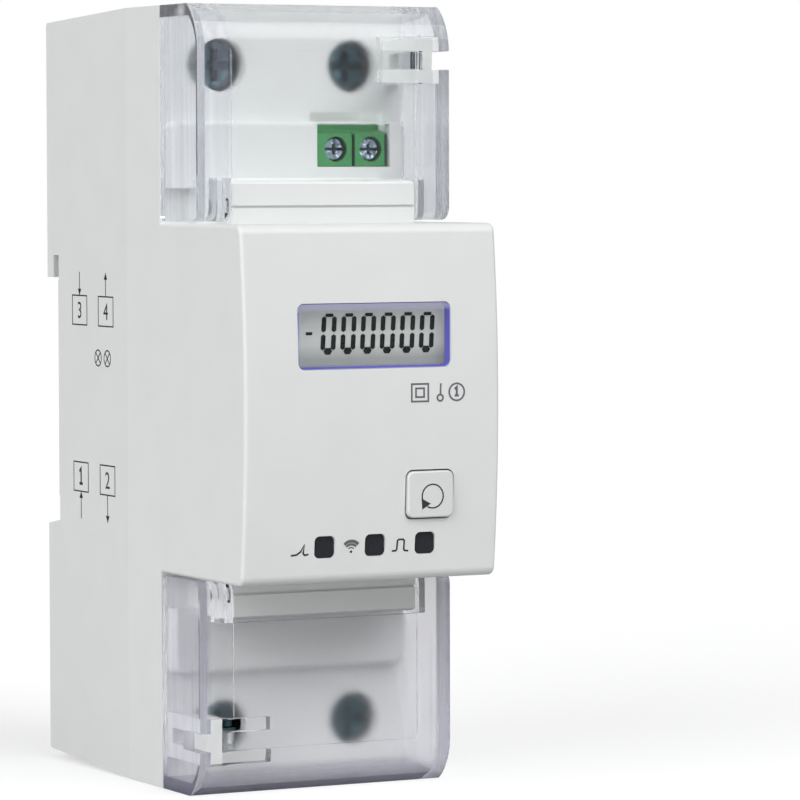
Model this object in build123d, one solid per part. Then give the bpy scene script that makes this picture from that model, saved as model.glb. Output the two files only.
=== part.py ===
"""Two-module energy monitor that clips to a 35 mm top-hat rail.

X runs across the unit, Y runs back towards the rail and Z runs up. The origin is the middle of the face
that sits on the rail. A depth is a distance forward of that face, so a depth of d lies at Y = -d. The
unit is alike when it is turned half a turn about Y, apart from its front, its green block and its rail
clip. Lengths are millimetres.
"""

import os
from math import asin, cos, sin, sqrt

from build123d import *

# The whole unit
module_width = 18.0
module_count = 2
body_height = 100.8
back_draft = 1.2
raised_height = 45.0
front_depth = 58.0
front_bow = 1.3
cover_depth = 44.5
deck_depth = 33.0
parting_depth = 22.6
hook_depth = 3.6

# Walls, gaps and rounds shared by the mouldings
shell_wall = 1.8
back_wall = 1.8
deck_wall = 1.6
front_wall = 1.5
cover_wall = 1.5
swing_gap = 0.3
slip_gap = 0.1
shaft_gap = 0.06
overrun = 1.0
face_round = 1.3
edge_round = 0.5
lip_height = 1.6
lip_wall = 0.8
lip_root = 1.4

# The rail and the recess that takes it
rail_height = 35.0
rail_play = 0.4
hook_reach = 2.6
hook_gap = 1.5
seat_relief = 0.2
seat_margin = 0.3
lip_slant = 0.6

# The clip that slides behind the rail's lower edge
clip_width = 9.8
clip_skirt = 1.4
clip_base = 1.0
clip_travel = 3.4
clip_bite = 2.6
clip_rail_gap = 1.2
clip_nose_chamfer = 1.2
clip_tab = 1.0
clip_sink = 0.2
clip_window_width = 5.0
clip_window_inset = 12.4
clip_window_length = 14.0
clip_slot_width = 4.0
clip_slot_height = 1.6
clip_slot_inset = 2.6
channel_floor = 0.6
spring_rest_height = 1.0
spring_width = 3.8
spring_strip = 0.5
spring_depth = 2.0
spring_bends = 5
spring_bend_radius = 0.45

# Main terminals: two at each end
terminal_pitch = 19.0
terminal_inset = 7.5
port_width = 9.0
port_depth = 8.6
port_round = 2.0
access_radius = 3.5
bar_width = 7.0
bar_thick = 2.0
wire_space = 7.5
cage_width = 10.4
cage_length = 8.0
cage_wall = 1.2
cage_nut = 2.0
cage_travel = 5.5
cage_play = 0.2
screw_radius = 2.5
screw_head_radius = 3.2
screw_head_height = 3.0
screw_head_sink = 0.5
screw_slot = 1.1
screw_slot_depth = 1.5
partition_wall = 1.6
partition_inset = 5.9

# Ledges, hinge bars and latch lugs on the deck
ledge_rise = 2.2
ledge_reach = 13.1
ledge_round = 1.2
ledge_wall = 1.4
hinge_reach = 2.3
hinge_radius = 1.0
hinge_pin_length = 1.5
hinge_setback = 2.0
bar_half_width = 13.0
hinge_bar_height = 5.5
hinge_bar_sink = 0.3
hinge_groove = 0.35
hinge_core_wall = 1.6
lug_width = 2.1
latch_inset = 7.0
lug_length = 5.8
seal_slot_height = 2.0
seal_slot_rise = 1.6
seal_slot_length = 4.6

# Terminal covers
cover_seam = 0.3
cover_end_setback = 3.2
cover_end_flat = 5.9
cover_panel_half = 13.2
cover_panel_sink = 0.3
ear_wall = 1.5
ear_depth = 4.1
tongue_length = 6.1
tongue_height = 2.4
tongue_hook = 3.4
tongue_hook_wall = 1.0
notch_height = 2.4
notch_depth = 5.0
corner_ease = 0.8

# Display in the raised front
display_across = 0.3
display_height = 8.5
opening_width = 21.7
opening_height = 8.3
opening_round = 0.9
window_sink = 0.5
window_flange = 0.8
window_margin = 1.4
glass_width = 24.0
glass_height = 11.0
glass_thick = 2.0
contact_step_share = 0.12
contact_row_share = 0.8
guide_thick = 2.4
display_frame_wall = 0.8
display_pin_count = 12
display_pin_width = 0.5

# Front button, its switch and the three indicator windows
button_across = 8.0
button_height = -11.7
button_width = 6.7
button_tall = 6.1
button_round = 0.9
button_proud = 0.5
button_flange = 0.6
button_flange_thick = 0.9
button_travel = 0.5
button_stem_radius = 1.5
switch_size = 5.2
switch_height = 2.2
plunger_radius = 1.2
plunger_length = 1.6
plunger_rise = 0.9
lens_count = 3
lens_pitch = 7.1
lens_first = -6.6
lens_height = -17.9
lens_width = 2.9
lens_tall = 2.8
lens_round = 0.7
lens_sink = 0.15
lens_flange = 0.4
lens_flange_thick = 0.6
diode_width = 2.0
diode_tall = 1.2
diode_height = 0.8

# Boards and what joins them
display_board_width = 29.6
display_board_top = 18.0
display_board_bottom = -20.2
board_thick = 1.6
board_post_radius = 1.3
board_post_across = 13.2
board_post_heights = (16.3, -5.4)
main_board_side_gap = 1.2
main_board_inset = 6.4
main_board_depth = 25.0
post_width = 1.7
post_height = 2.0
post_inset = 15.9
link_pin_count = 8
link_pitch = 2.54
link_pin_width = 0.64
link_across = -11.0
link_height = -7.5
link_body_width = 2.5
link_body_depth = 2.5
link_tail = 1.0

# Relay, busbars and shunt behind the main board
relay_side_gap = 1.2
relay_height = 38.4
relay_depth = 16.0
relay_round = 0.8
relay_blade_depth = 6.0
relay_blade_height = 1.2
relay_pin_radius = 0.5
relay_pin_across = 10.0
relay_pin_height = 9.6
shunt_start = 24.5
shunt_length = 6.0
shunt_waist_share = 0.2
rest_rib_inset = 10.9
rest_rib_wall = 1.5
link_bar_inset = 6.3
link_bar_height = 6.2
tap_radius = 0.6

# Parts on the main board's front face
transformer_place = (-8.6, 10.2)
transformer_size = (12.4, 12.8, 13.6)
bobbin_margin = 1.6
bobbin_height = 2.4
capacitor_places = ((3.2, 13.4), (3.2, 3.6))
capacitor_radius = 4.0
capacitor_length = 15.5
capacitor_bead = 0.4
capacitor_bead_rise = 1.8
varistor_place = (11.4, 12.4)
varistor_radius = 3.9
varistor_thick = 3.8
varistor_lift = 2.0
varistor_leg = 0.4
rectifier_place = (11.4, 2.8)
rectifier_size = (6.2, 4.7, 2.4)
meter_chip_place = (-5.0, -27.5)
meter_chip_size = (10.2, 7.5, 2.3)
meter_chip_legs = 8
opto_place = (8.65, 25.2)
opto_size = (6.4, 4.6, 3.5)
opto_legs = 2
chip_leg_width = 0.4
chip_leg_reach = 1.1
chip_leg_pitch = 1.27
chip_leg_thick = 0.25
radio_place = (0.5, -10.6)
radio_board_size = (16.0, 17.6, 0.8)
radio_shield_size = (14.0, 12.0, 2.4)
radio_shield_drop = 2.2
sheet_wall = 0.2

# Green two-way block in the upper ledge
way_pitch = 5.08
way_count = 2
block_across = 8.65
block_rise = 1.8
block_tall = 5.4
block_end_wall = 0.15
block_height = 10.1
block_play = 0.1
block_key_height = 0.7
block_slope_front = 1.25
block_slope_rear = 0.65
block_slope_depth = 3.2
way_width = 4.2
way_floor = 0.3
way_tall = 3.8
way_rear = 1.2
way_groove = 0.5
way_groove_depth = 1.2
way_screw_rise = 2.2
way_head_radius = 1.35
way_head_sink = 0.8
way_head_height = 0.7
way_well_radius = 1.65
way_hole_play = 0.15
way_shank_radius = 1.0
way_slot = 0.4
way_slot_depth = 0.4
entry_width = 3.4
entry_rear = 1.6
entry_front = 5.0
clamp_width = 3.9
clamp_tall = 2.8
clamp_start = 1.3
clamp_length = 4.7
clamp_travel = 1.8
clamp_wall = 0.5
clamp_nut = 0.9
contact_thick = 0.3
contact_gap = 0.1
contact_width = 2.4
pin_width = 1.2
pin_tail = 1.1
wire_pocket_height = 1.6
wire_pocket_wall = 0.8
wire_pocket_floor = 27.0

# Worked out from the sizes above
half_width = module_width * module_count / 2
half_height = body_height / 2
half_raised = raised_height / 2
front_edge = front_depth - front_bow
inner_front = front_edge - front_wall
inner_half_width = half_width - shell_wall
under_deck = deck_depth - deck_wall
terminal_across = terminal_pitch / 2
terminal_height = half_height - terminal_inset
latch_height = half_height - latch_inset
screw_head_front = under_deck - screw_head_sink
screw_head_rear = screw_head_front - screw_head_height
cage_front_closed = screw_head_rear - cage_play
cage_front = cage_front_closed - cage_travel
bar_front = cage_front - cage_nut - cage_play
bar_rear = bar_front - bar_thick
cage_rear = bar_rear - wire_space - cage_wall
port_centre = bar_rear - wire_space / 2
hinge_depth = cover_depth - hinge_setback
hinge_height = half_raised + hinge_reach
hinge_bar_top = half_raised + hinge_bar_height
ledge_depth = deck_depth + ledge_rise
ledge_top = half_raised + ledge_reach
cover_inner_half = half_width - cover_wall
ledge_half_width = cover_inner_half - swing_gap
ear_face = bar_half_width + swing_gap
lug_outer = cover_inner_half - slip_gap - slip_gap
lug_front = cover_depth - cover_wall
window_front = front_depth - window_sink
window_rear = inner_front - window_flange
glass_front = window_rear - slip_gap
guide_front = glass_front - glass_thick
display_board_front = guide_front - guide_thick
display_board_rear = display_board_front - board_thick
main_board_rear = main_board_depth - board_thick
main_board_width = 2 * (inner_half_width - main_board_side_gap)
main_board_height = 2 * (terminal_height - main_board_inset)
relay_width = 2 * (inner_half_width - relay_side_gap)
post_outer = main_board_width / 2
post_inner = post_outer - post_width
post_low = terminal_height - post_inset
post_high = post_low + post_height
rest_rib_low = terminal_height - rest_rib_inset
link_bar_high = terminal_height - link_bar_inset
link_bar_low = link_bar_high - link_bar_height
block_low = hinge_bar_top + block_rise
block_high = block_low + block_tall
way_low = block_low + way_floor
way_high = way_low + way_tall
way_screw_height = block_low + way_screw_rise
wire_pocket_high = block_high + wire_pocket_height
clip_window_low = clip_window_inset - half_height
clip_window_high = clip_window_low + clip_window_length
bar_bend_height = relay_height / 2 + relay_blade_height
way_front = clamp_start + clamp_length + clamp_travel + slip_gap
seat_half = rail_height / 2 - hook_reach - seat_margin
slot_top = rail_height / 2 + rail_play
hook_lip = rail_height / 2 - hook_reach
clip_front = clip_sink - hook_depth


def turned(shape):
    """The same shape at the other end of the unit."""
    return Rot(0, 180, 0) * shape


def block(low_x, high_x, rear, front, low_z, high_z):
    """Box between two places across, two depths and two heights."""
    box = Box(high_x - low_x, front - rear, high_z - low_z)
    return Pos((low_x + high_x) / 2, -(rear + front) / 2, (low_z + high_z) / 2) * box


def cuboid(x, z, width, height, rear, front):
    """Box centred at a place on the front view."""
    return block(x - width / 2, x + width / 2, rear, front, z - height / 2, z + height / 2)


def plate(x, z, width, height, rear, front, corner):
    """Round-cornered plate centred at a place on the front view."""
    outline = Pos(x, z) * RectangleRounded(width, height, corner)
    return extrude(Plane.XZ.offset(rear) * outline, front - rear)


def peg(x, z, radius, rear, front):
    """Round peg along the depth."""
    return extrude(Plane.XZ.offset(rear) * (Pos(x, z) * Circle(radius)), front - rear)


def cross_peg(low_x, high_x, depth, z, radius):
    """Round peg along the width."""
    return extrude(Plane.YZ.offset(low_x) * (Pos(-depth, z) * Circle(radius)), high_x - low_x)


def slab(points, low_x, high_x):
    """Solid with a side outline of depths and heights, between two places across."""
    outline = make_face(Polyline(*[(-depth, height) for depth, height in points], close=True))
    return extrude(Plane.YZ.offset(low_x) * outline, high_x - low_x)


def end_height(depth):
    """Half height of the rear housing's tapered ends at a depth."""
    share = (parting_depth - depth) / (parting_depth + hook_depth)
    return half_height - back_draft * share


def front_surface(z):
    """Depth of the bowed front at a height."""
    bow_radius = (half_raised**2 + front_bow**2) / (2 * front_bow)
    return front_depth - bow_radius + sqrt(bow_radius**2 - z**2)


def rear_shell():
    """Tapered back half with its end walls, hollow from the front."""
    back, part = -hook_depth, parting_depth
    outer_points = [
        (back, -end_height(back)), (part, -end_height(part)),
        (part, end_height(part)), (back, end_height(back)),
    ]
    shell = slab(outer_points, -half_width, half_width)
    shell = fillet(shell.edges().filter_by(Axis.X).sort_by(Axis.Y)[-2:], edge_round)
    wall, mouth = shell_wall, part + overrun
    hollow_points = [
        (back_wall, -end_height(back_wall) + wall), (mouth, -end_height(mouth) + wall),
        (mouth, end_height(mouth) - wall), (back_wall, end_height(back_wall) - wall),
    ]
    return shell - slab(hollow_points, -inner_half_width, inner_half_width)


def rail_recess():
    """Space cut for the rail, with the slot behind the fixed hook."""
    far = half_width + overrun
    out = -hook_depth - overrun
    low, slanted = -slot_top, -slot_top - lip_slant
    outline = [(0, low), (0, hook_lip), (out, hook_lip), (out, slanted), (-hook_depth, slanted)]
    recess = slab(outline, -far, far)
    flange_slot = block(-far, far, -hook_gap, seat_relief, seat_half, slot_top)
    lower_relief = block(-far, far, -overrun, seat_relief, low, -seat_half)
    return recess + flange_slot + lower_relief


def clip_channel():
    """Stepped channel in the back that guides the clip, open at the recess and at the lower end."""
    half = clip_width / 2 + slip_gap
    low, high = -half_height - overrun, -seat_half
    wide_front = -channel_floor
    wide_rear = wide_front - clip_base - 2 * slip_gap
    wide = block(-half - clip_skirt, half + clip_skirt, wide_rear, wide_front, low, -slot_top + overrun)
    narrow = block(-half, half, -hook_depth - overrun, wide_front, low, high)
    return wide + narrow


def cores():
    """Pockets that keep the walls behind the hooks even."""
    rear = -hook_depth + shell_wall
    high = end_height(0) - shell_wall
    upper = block(-inner_half_width, inner_half_width, rear, back_wall + overrun,
                  slot_top + shell_wall, high)
    inner = clip_width / 2 + clip_skirt + shell_wall
    low = -slot_top - lip_slant - shell_wall
    sides = [
        block(min(s * inner, s * inner_half_width), max(s * inner, s * inner_half_width),
              rear, back_wall + overrun, -high, low)
        for s in (-1, 1)
    ]
    return upper + sides


def cable_ports():
    """The four round-cornered holes in the end walls."""
    tall = body_height + 2 * overrun
    outline = RectangleRounded(port_width, port_depth, port_round)
    ports = [
        extrude(Plane.XY.offset(-tall / 2) * (Pos(s * terminal_across, -port_centre) * outline), tall)
        for s in (-1, 1)
    ]
    keep = block(-half_width, half_width, 0, parting_depth, -terminal_height, terminal_height)
    return ports[0] + ports[1] - keep


def rear_supports():
    """Ribs and posts that stand on the back wall and carry the bars and the main board."""
    root = -hook_depth + shell_wall / 2
    top = parting_depth - lip_height - slip_gap
    supports = []
    for end in (-1, 1):
        low, high = sorted((end * rest_rib_low, end * (rest_rib_low + rest_rib_wall)))
        supports.append(block(-post_inner, post_inner, root, bar_rear, low, high))
        low, high = sorted((end * (terminal_height - partition_inset), end * end_height(root)))
        supports.append(block(-partition_wall / 2, partition_wall / 2, root, top, low, high))
        low, high = sorted((end * post_low, end * post_high))
        for side in (-1, 1):
            left, right = sorted((side * post_inner, side * post_outer))
            supports.append(block(left, right, root, main_board_rear, low, high))
            left, right = sorted((side * post_inner, side * half_width))
            supports.append(block(left, right, root, top, low, high))
    return supports


def spring_rest():
    """Small stop on the channel's floor that the clip's spring bears on."""
    top = clip_window_low + slip_gap + spring_rest_height
    half = clip_window_width / 2 - slip_gap
    return block(-half, half, clip_front, -channel_floor + slip_gap, top - spring_rest_height, top)


def rear_housing():
    body = rear_shell() - cores() + rear_supports()
    body = body - rail_recess() - clip_channel() - cable_ports()
    return body + spring_rest()


def raised_front():
    """Bowed block that carries the display, with rounded edges."""
    side = half_raised
    outline = make_face(
        Polyline(
            (-front_edge, side), (-parting_depth, side), (-parting_depth, -side), (-front_edge, -side)
        )
        + ThreePointArc((-front_edge, -side), (-front_depth, 0), (-front_edge, side))
    )
    body = extrude(Plane.YZ.offset(-half_width) * outline, 2 * half_width)
    long_edges = body.faces().sort_by(Axis.Y)[0].edges().filter_by(Axis.X)
    body = fillet(long_edges, face_round)
    sides = body.faces().filter_by(Axis.X)
    rims = [edge for face in sides for edge in face.edges().sort_by(Axis.Y)[:-1]]
    return fillet(rims, edge_round)


def front_hollow():
    """Space inside the front housing."""
    end = half_height - shell_wall
    wide = block(-inner_half_width, inner_half_width, parting_depth - overrun, under_deck, -end, end)
    side = half_raised - shell_wall
    raised = block(-inner_half_width, inner_half_width, under_deck - overrun, inner_front, -side, side)
    return wide + raised


def inner_lip():
    """Thin rim that keys the front housing into the rear one, with a wider root."""
    rear, root = parting_depth - lip_height, parting_depth + lip_root
    x, z = inner_half_width - slip_gap, half_height - shell_wall - 2 * slip_gap
    rim = block(-x, x, rear, root, -z, z)
    wide_x, wide_z = inner_half_width + slip_gap, half_height - shell_wall + slip_gap
    rim = rim + block(-wide_x, wide_x, parting_depth, root, -wide_z, wide_z)
    x, z = x - lip_wall, z - lip_wall
    return rim - block(-x, x, rear - overrun, root + overrun, -z, z)


def ledge():
    """Step across the deck in front of the terminals, with rounded front edges."""
    half = ledge_half_width
    body = block(-half, half, under_deck, ledge_depth, hinge_bar_top - overrun, ledge_top)
    corners = body.edges().filter_by(Axis.Y).sort_by(Axis.Z)[-2:]
    body = fillet(corners, ledge_round)
    rim = body.faces().sort_by(Axis.Y)[0].edges().sort_by(Axis.Z)[-1]
    return fillet(rim, ledge_round / 2)


def ledge_hollow():
    half = ledge_half_width - ledge_wall
    return block(-half, half, under_deck - overrun, ledge_depth - ledge_wall,
                 hinge_bar_top + ledge_wall, ledge_top - ledge_wall)


def hinge_bar():
    """White bar between the cover's ears, with a hole in each end for the cover's pins."""
    sweep_radius = hinge_bar_top - hinge_height
    front = cover_depth - hinge_bar_sink
    half = bar_half_width
    body = block(-half, half, under_deck, front, half_raised - overrun, hinge_bar_top)
    swing = cross_peg(-half, half, hinge_depth, hinge_height, sweep_radius)
    below = block(-half, half, under_deck, front, half_raised - overrun, hinge_height)
    behind = block(-half, half, under_deck, hinge_depth, half_raised - overrun, hinge_bar_top)
    body = body & (swing + below + behind)
    groove = block(-half, half, front - hinge_groove, front + overrun,
                   hinge_height - hinge_groove, hinge_height)
    return body - groove


def hinge_bar_hollow():
    half = bar_half_width - hinge_pin_length - hinge_core_wall
    front = hinge_depth - hinge_radius - hinge_core_wall
    return block(-half, half, under_deck - overrun, front,
                 half_raised + hinge_core_wall, hinge_bar_top - hinge_core_wall)


def hinge_holes():
    """The two blind holes that take one cover's pins."""
    start = bar_half_width - hinge_pin_length - slip_gap
    holes = []
    for side in (-1, 1):
        left, right = sorted((side * start, side * (bar_half_width + overrun)))
        holes.append(cross_peg(left, right, hinge_depth, hinge_height, hinge_radius + shaft_gap))
    return holes


def latch_block(low_x, high_x, rear, front, height):
    """Box centred at the latch's height."""
    return block(low_x, high_x, rear, front, latch_height - height / 2, latch_height + height / 2)


def latch_lug():
    """White lug that the cover's springy tongue clips behind, slotted for a seal wire."""
    inner = lug_outer - lug_width
    lug = latch_block(inner, lug_outer, under_deck, lug_front, lug_length)
    seal_rear = deck_depth + seal_slot_rise
    return lug - latch_block(inner - overrun, lug_outer + overrun, seal_rear,
                             seal_rear + seal_slot_length, seal_slot_height)


def block_pocket():
    """Walls of the pocket through which thin wires reach the green block."""
    half = way_pitch * way_count / 2 + block_end_wall + block_play
    return block(block_across - half - wire_pocket_wall, block_across + half + wire_pocket_wall,
                 wire_pocket_floor - wire_pocket_wall, deck_depth, block_high + block_play,
                 wire_pocket_high + wire_pocket_wall)


def block_window():
    """Opening in the ledge and deck for the green block and its wires."""
    half = way_pitch * way_count / 2 + block_end_wall + block_play
    left, right = block_across - half, block_across + half
    seat = block(left, right, main_board_depth, ledge_depth + overrun,
                 block_low - block_play, block_high + block_play)
    entry = block(left, right, wire_pocket_floor, deck_depth + overrun, block_high, wire_pocket_high)
    return seat + entry


def front_posts():
    """Posts that press the main board back and hold the display board."""
    posts = []
    for end in (-1, 1):
        for side in (-1, 1):
            left, right = sorted((side * post_inner, side * post_outer))
            low, high = sorted((end * post_low, end * post_high))
            posts.append(block(left, right, main_board_depth, under_deck + overrun, low, high))
    for height in board_post_heights:
        for side in (-1, 1):
            place = (side * board_post_across, height)
            posts.append(peg(*place, board_post_radius, display_board_front, inner_front + overrun))
    return posts


def lens_places():
    return [(lens_first + lens_pitch * index, lens_height) for index in range(lens_count)]


def front_openings():
    """Holes in the raised front for the display, the button and the indicator windows."""
    rear, front = inner_front - overrun, front_depth + overrun
    cuts = [
        plate(display_across, display_height, opening_width, opening_height,
              rear, front, opening_round),
        plate(button_across, button_height, button_width + 2 * slip_gap, button_tall + 2 * slip_gap,
              rear, front, button_round + slip_gap),
    ]
    cuts += [plate(*place, lens_width, lens_tall, rear, front, lens_round) for place in lens_places()]
    return cuts


def access_holes():
    """Round holes over the four main screws."""
    rear, front = under_deck - overrun, deck_depth + overrun
    return [peg(*place, access_radius, rear, front) for place in terminal_places()]


def front_housing():
    end = half_height
    base = block(-half_width, half_width, parting_depth, deck_depth, -end, end)
    body = base + raised_front() - front_hollow() + inner_lip()
    for place in (lambda shape: shape, turned):
        body = body + place(ledge()) + place(hinge_bar()) + place(latch_lug())
        body = body - place(ledge_hollow()) - place(hinge_bar_hollow())
        body = body - [place(hole) for hole in hinge_holes()]
    body = body + block_pocket() - block_window() + front_posts()
    return body - front_openings() - access_holes()


def cover_outline(inset, rear, inner_end):
    """Side outline of a cover: straight back, curved outer end and flat front."""
    top, front = half_height - inset, cover_depth - inset
    start = half_height - cover_end_flat
    drop = cover_end_setback
    radius = (cover_end_flat**2 + drop**2) / (2 * drop) - inset
    centre_depth = front - radius
    end_depth = centre_depth + sqrt(radius**2 - (top - start) ** 2)
    middle_angle = asin((top - start) / radius) / 2
    middle = (centre_depth + radius * cos(middle_angle), start + radius * sin(middle_angle))
    return make_face(
        Polyline(
            (-end_depth, top), (-rear, top), (-rear, inner_end), (-front, inner_end), (-front, start)
        )
        + ThreePointArc((-front, start), (-middle[0], middle[1]), (-end_depth, top))
    )


def cover_shell():
    """Hollow clear box with its ears, before the latch is cut."""
    seam, inner_end = deck_depth + cover_seam, half_raised + cover_seam
    outline = cover_outline(0, seam, inner_end)
    body = extrude(Plane.YZ.offset(-half_width) * outline, 2 * half_width)
    hinge_edge = body.edges().filter_by(Axis.X).group_by(Axis.Z)[0].sort_by(Axis.Y)[0]
    body = fillet(hinge_edge, hinge_setback - slip_gap)
    rear_edge = body.edges().filter_by(Axis.X).group_by(Axis.Z)[0].sort_by(Axis.Y)[-1]
    body = fillet(rear_edge, corner_ease)
    hollow = cover_outline(cover_wall, seam - overrun, inner_end - overrun)
    half = cover_inner_half
    return body, extrude(Plane.YZ.offset(-half) * hollow, 2 * half)


def cover_ears(body):
    """Inner walls of the ears, trimmed to the cover's outline."""
    ears = []
    for side in (-1, 1):
        left, right = sorted((side * ear_face, side * (ear_face + ear_wall)))
        ear = block(left, right, cover_depth - ear_depth, cover_depth,
                    half_raised, hinge_bar_top + swing_gap)
        ears.append(ear & body)
    return ears


def cover_pins():
    pins = []
    for side in (-1, 1):
        tip, root = bar_half_width - hinge_pin_length, ear_face + ear_wall / 2
        left, right = sorted((side * tip, side * root))
        pins.append(cross_peg(left, right, hinge_depth, hinge_height, hinge_radius))
    return pins


def latch_cuts():
    """Two slots that free the tongue, the hole over the lug and the notch in the corner."""
    rear, front = cover_depth - 2 * cover_wall, cover_depth + overrun
    inner = lug_outer - lug_width - slip_gap
    hole = latch_block(inner, cover_inner_half, rear, front, lug_length + 2 * slip_gap)
    slots = latch_block(inner - tongue_length, inner + slip_gap, rear, front, lug_length)
    slots = slots - latch_block(inner - tongue_length, inner + slip_gap, rear, front, tongue_height)
    notch = latch_block(lug_outer, half_width + overrun, cover_depth - notch_depth, front, notch_height)
    return [hole, notch, *slots.solids()]


def tongue_hook_piece():
    """Hook under the tongue's free end, which reaches down beside the lug."""
    outer = lug_outer - lug_width - swing_gap
    rear = cover_depth - cover_wall - tongue_hook
    return latch_block(outer - tongue_hook_wall, outer, rear, cover_depth - cover_wall / 2,
                       tongue_height - 2 * slip_gap)


def terminal_cover():
    """Clear hinged cover for the upper terminals; the lower one is the same moulding turned round."""
    solid, hollow = cover_shell()
    body = solid - hollow
    edge = hinge_bar_top + swing_gap
    gap = block(-ear_face, ear_face, deck_depth, cover_depth + overrun, half_raised - overrun, edge)
    panel = block(-cover_panel_half, cover_panel_half, cover_depth - cover_panel_sink,
                  cover_depth + overrun, edge - overrun, half_height - cover_end_flat)
    body = body - gap - panel
    body = body + cover_ears(solid) + cover_pins()
    return body - latch_cuts() + tongue_hook_piece()


def display_window():
    """Clear stepped pane: a flange behind the wall and a pad that fills the opening."""
    wide, tall = opening_width + 2 * window_margin, opening_height + 2 * window_margin
    flange = plate(display_across, display_height, wide, tall, window_rear, inner_front, opening_round)
    pad = plate(display_across, display_height,
                opening_width - 2 * slip_gap, opening_height - 2 * slip_gap,
                window_rear, window_front, opening_round - slip_gap)
    return flange + pad


def display_glass():
    """Two glass sheets, the rear one longer at the top for its contacts."""
    rear_sheet = cuboid(display_across, display_height, glass_width, glass_height,
                        guide_front, guide_front + glass_thick / 2)
    step = glass_height * contact_step_share
    front_sheet = cuboid(display_across, display_height - step / 2, glass_width, glass_height - step,
                         guide_front + glass_thick / 2, glass_front)
    return rear_sheet + front_sheet


def display_pins():
    """Row of flat pins from the glass's upper edge down to the display board."""
    span = glass_width * contact_row_share
    top = display_height + glass_height / 2
    pins = []
    for index in range(display_pin_count):
        x = display_across - span / 2 + span * index / (display_pin_count - 1)
        high = top + display_frame_wall
        pins.append(cuboid(x, (top + high) / 2, display_pin_width, high - top, display_board_rear,
                           guide_front + glass_thick / 2))
    return Compound(children=pins)


def light_guide():
    return plate(display_across, display_height, glass_width, glass_height,
                 display_board_front, guide_front, display_pin_width)


def display_frame():
    """White frame round the glass and the light guide, open at the top for the pins."""
    gap = slip_gap
    wide, tall = glass_width + 2 * gap, glass_height + 2 * gap
    outer = cuboid(display_across, display_height, wide + 2 * display_frame_wall,
                   tall + 2 * display_frame_wall, display_board_front, glass_front - gap)
    hole = cuboid(display_across, display_height, wide, tall, display_board_front - overrun, glass_front)
    span = glass_width * contact_row_share + 2 * display_pin_width
    top = display_height + tall / 2
    pin_gap = cuboid(display_across, top + display_frame_wall, span, 2 * display_frame_wall + gap,
                     display_board_front - overrun, glass_front)
    return outer - hole - pin_gap


def display_board():
    """Board behind the raised front, with holes for the strip's pins."""
    middle = (display_board_top + display_board_bottom) / 2
    board = cuboid(0, middle, display_board_width, display_board_top - display_board_bottom,
                   display_board_rear, display_board_front)
    return board - link_holes() - display_pins().solids()


def indicator_lenses():
    """Three small dark windows, each with a flange behind the wall and a stem to its diode."""
    lenses = []
    for x, z in lens_places():
        front = front_surface(z - lens_tall / 2) - lens_sink
        play = slip_gap / 2
        pane = plate(x, z, lens_width - 2 * play, lens_tall - 2 * play,
                     inner_front - lens_flange_thick, front, lens_round - play)
        flange = cuboid(x, z, lens_width + 2 * lens_flange, lens_tall + 2 * lens_flange,
                        inner_front - lens_flange_thick, inner_front)
        stem = cuboid(x, z, diode_width, diode_width, display_board_front + diode_height + slip_gap,
                      inner_front - lens_flange_thick)
        lenses.append(pane + flange + stem)
    return Compound(children=lenses)


def indicator_diodes():
    diodes = [
        cuboid(x, z, diode_width, diode_tall, display_board_front, display_board_front + diode_height)
        for x, z in lens_places()
    ]
    return Compound(children=diodes)


def switch_front():
    return display_board_front + switch_height


def front_button():
    """Cap, retaining flange and stem, with the cap's front rim rounded."""
    face = front_surface(button_height) + button_proud
    cap = plate(button_across, button_height, button_width - 2 * slip_gap, button_tall - 2 * slip_gap,
                inner_front - button_flange_thick, face, button_round)
    cap = fillet(cap.faces().sort_by(Axis.Y)[0].edges(), edge_round / 2)
    flange_front = inner_front - slip_gap
    flange = cuboid(button_across, button_height, button_width + 2 * button_flange,
                    button_tall + 2 * button_flange, flange_front - button_flange_thick, flange_front)
    stem = peg(button_across, button_height, button_stem_radius,
               switch_front() + plunger_rise + slip_gap, flange_front - button_flange_thick)
    return cap + flange + stem


def switch_body():
    """Square push switch with the hole that its plunger slides in."""
    body = cuboid(button_across, button_height, switch_size, switch_size,
                  display_board_front, switch_front())
    return body - peg(button_across, button_height, plunger_radius + shaft_gap,
                      switch_front() + plunger_rise - plunger_length - button_travel - slip_gap,
                      switch_front() + overrun)


def switch_plunger():
    front = switch_front() + plunger_rise
    return peg(button_across, button_height, plunger_radius, front - plunger_length, front)


def link_places():
    first = link_height - link_pitch * (link_pin_count - 1) / 2
    return [(link_across, first + link_pitch * index) for index in range(link_pin_count)]


def link_pins():
    """Long square pins from board to board."""
    pins = [
        cuboid(x, z, link_pin_width, link_pin_width,
               main_board_rear - link_tail, display_board_front + link_tail)
        for x, z in link_places()
    ]
    return Compound(children=pins)


def link_holes():
    """Square holes that the long pins pass through with a little play."""
    play = link_pin_width + 2 * slip_gap
    return [
        cuboid(x, z, play, play,
               main_board_rear - link_tail - overrun, display_board_front + link_tail + overrun)
        for x, z in link_places()
    ]


def link_strip():
    """Plastic strip that holds the long pins on the main board."""
    strip = cuboid(link_across, link_height, link_body_width, link_pitch * link_pin_count,
                   main_board_depth, main_board_depth + link_body_depth)
    return strip - link_pins().solids()


def main_board():
    board = cuboid(0, 0, main_board_width, main_board_height, main_board_rear, main_board_depth)
    holes = link_holes() + [
        cuboid(x, contact_height(), pin_width + 2 * slip_gap, contact_thick + 2 * slip_gap,
               main_board_rear - overrun, main_board_depth + overrun)
        for x in way_places()
    ]
    return board - holes


def way_places():
    first = block_across - way_pitch * (way_count - 1) / 2
    return [first + way_pitch * index for index in range(way_count)]


def contact_height():
    return way_low + slip_gap + contact_thick / 2


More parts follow.
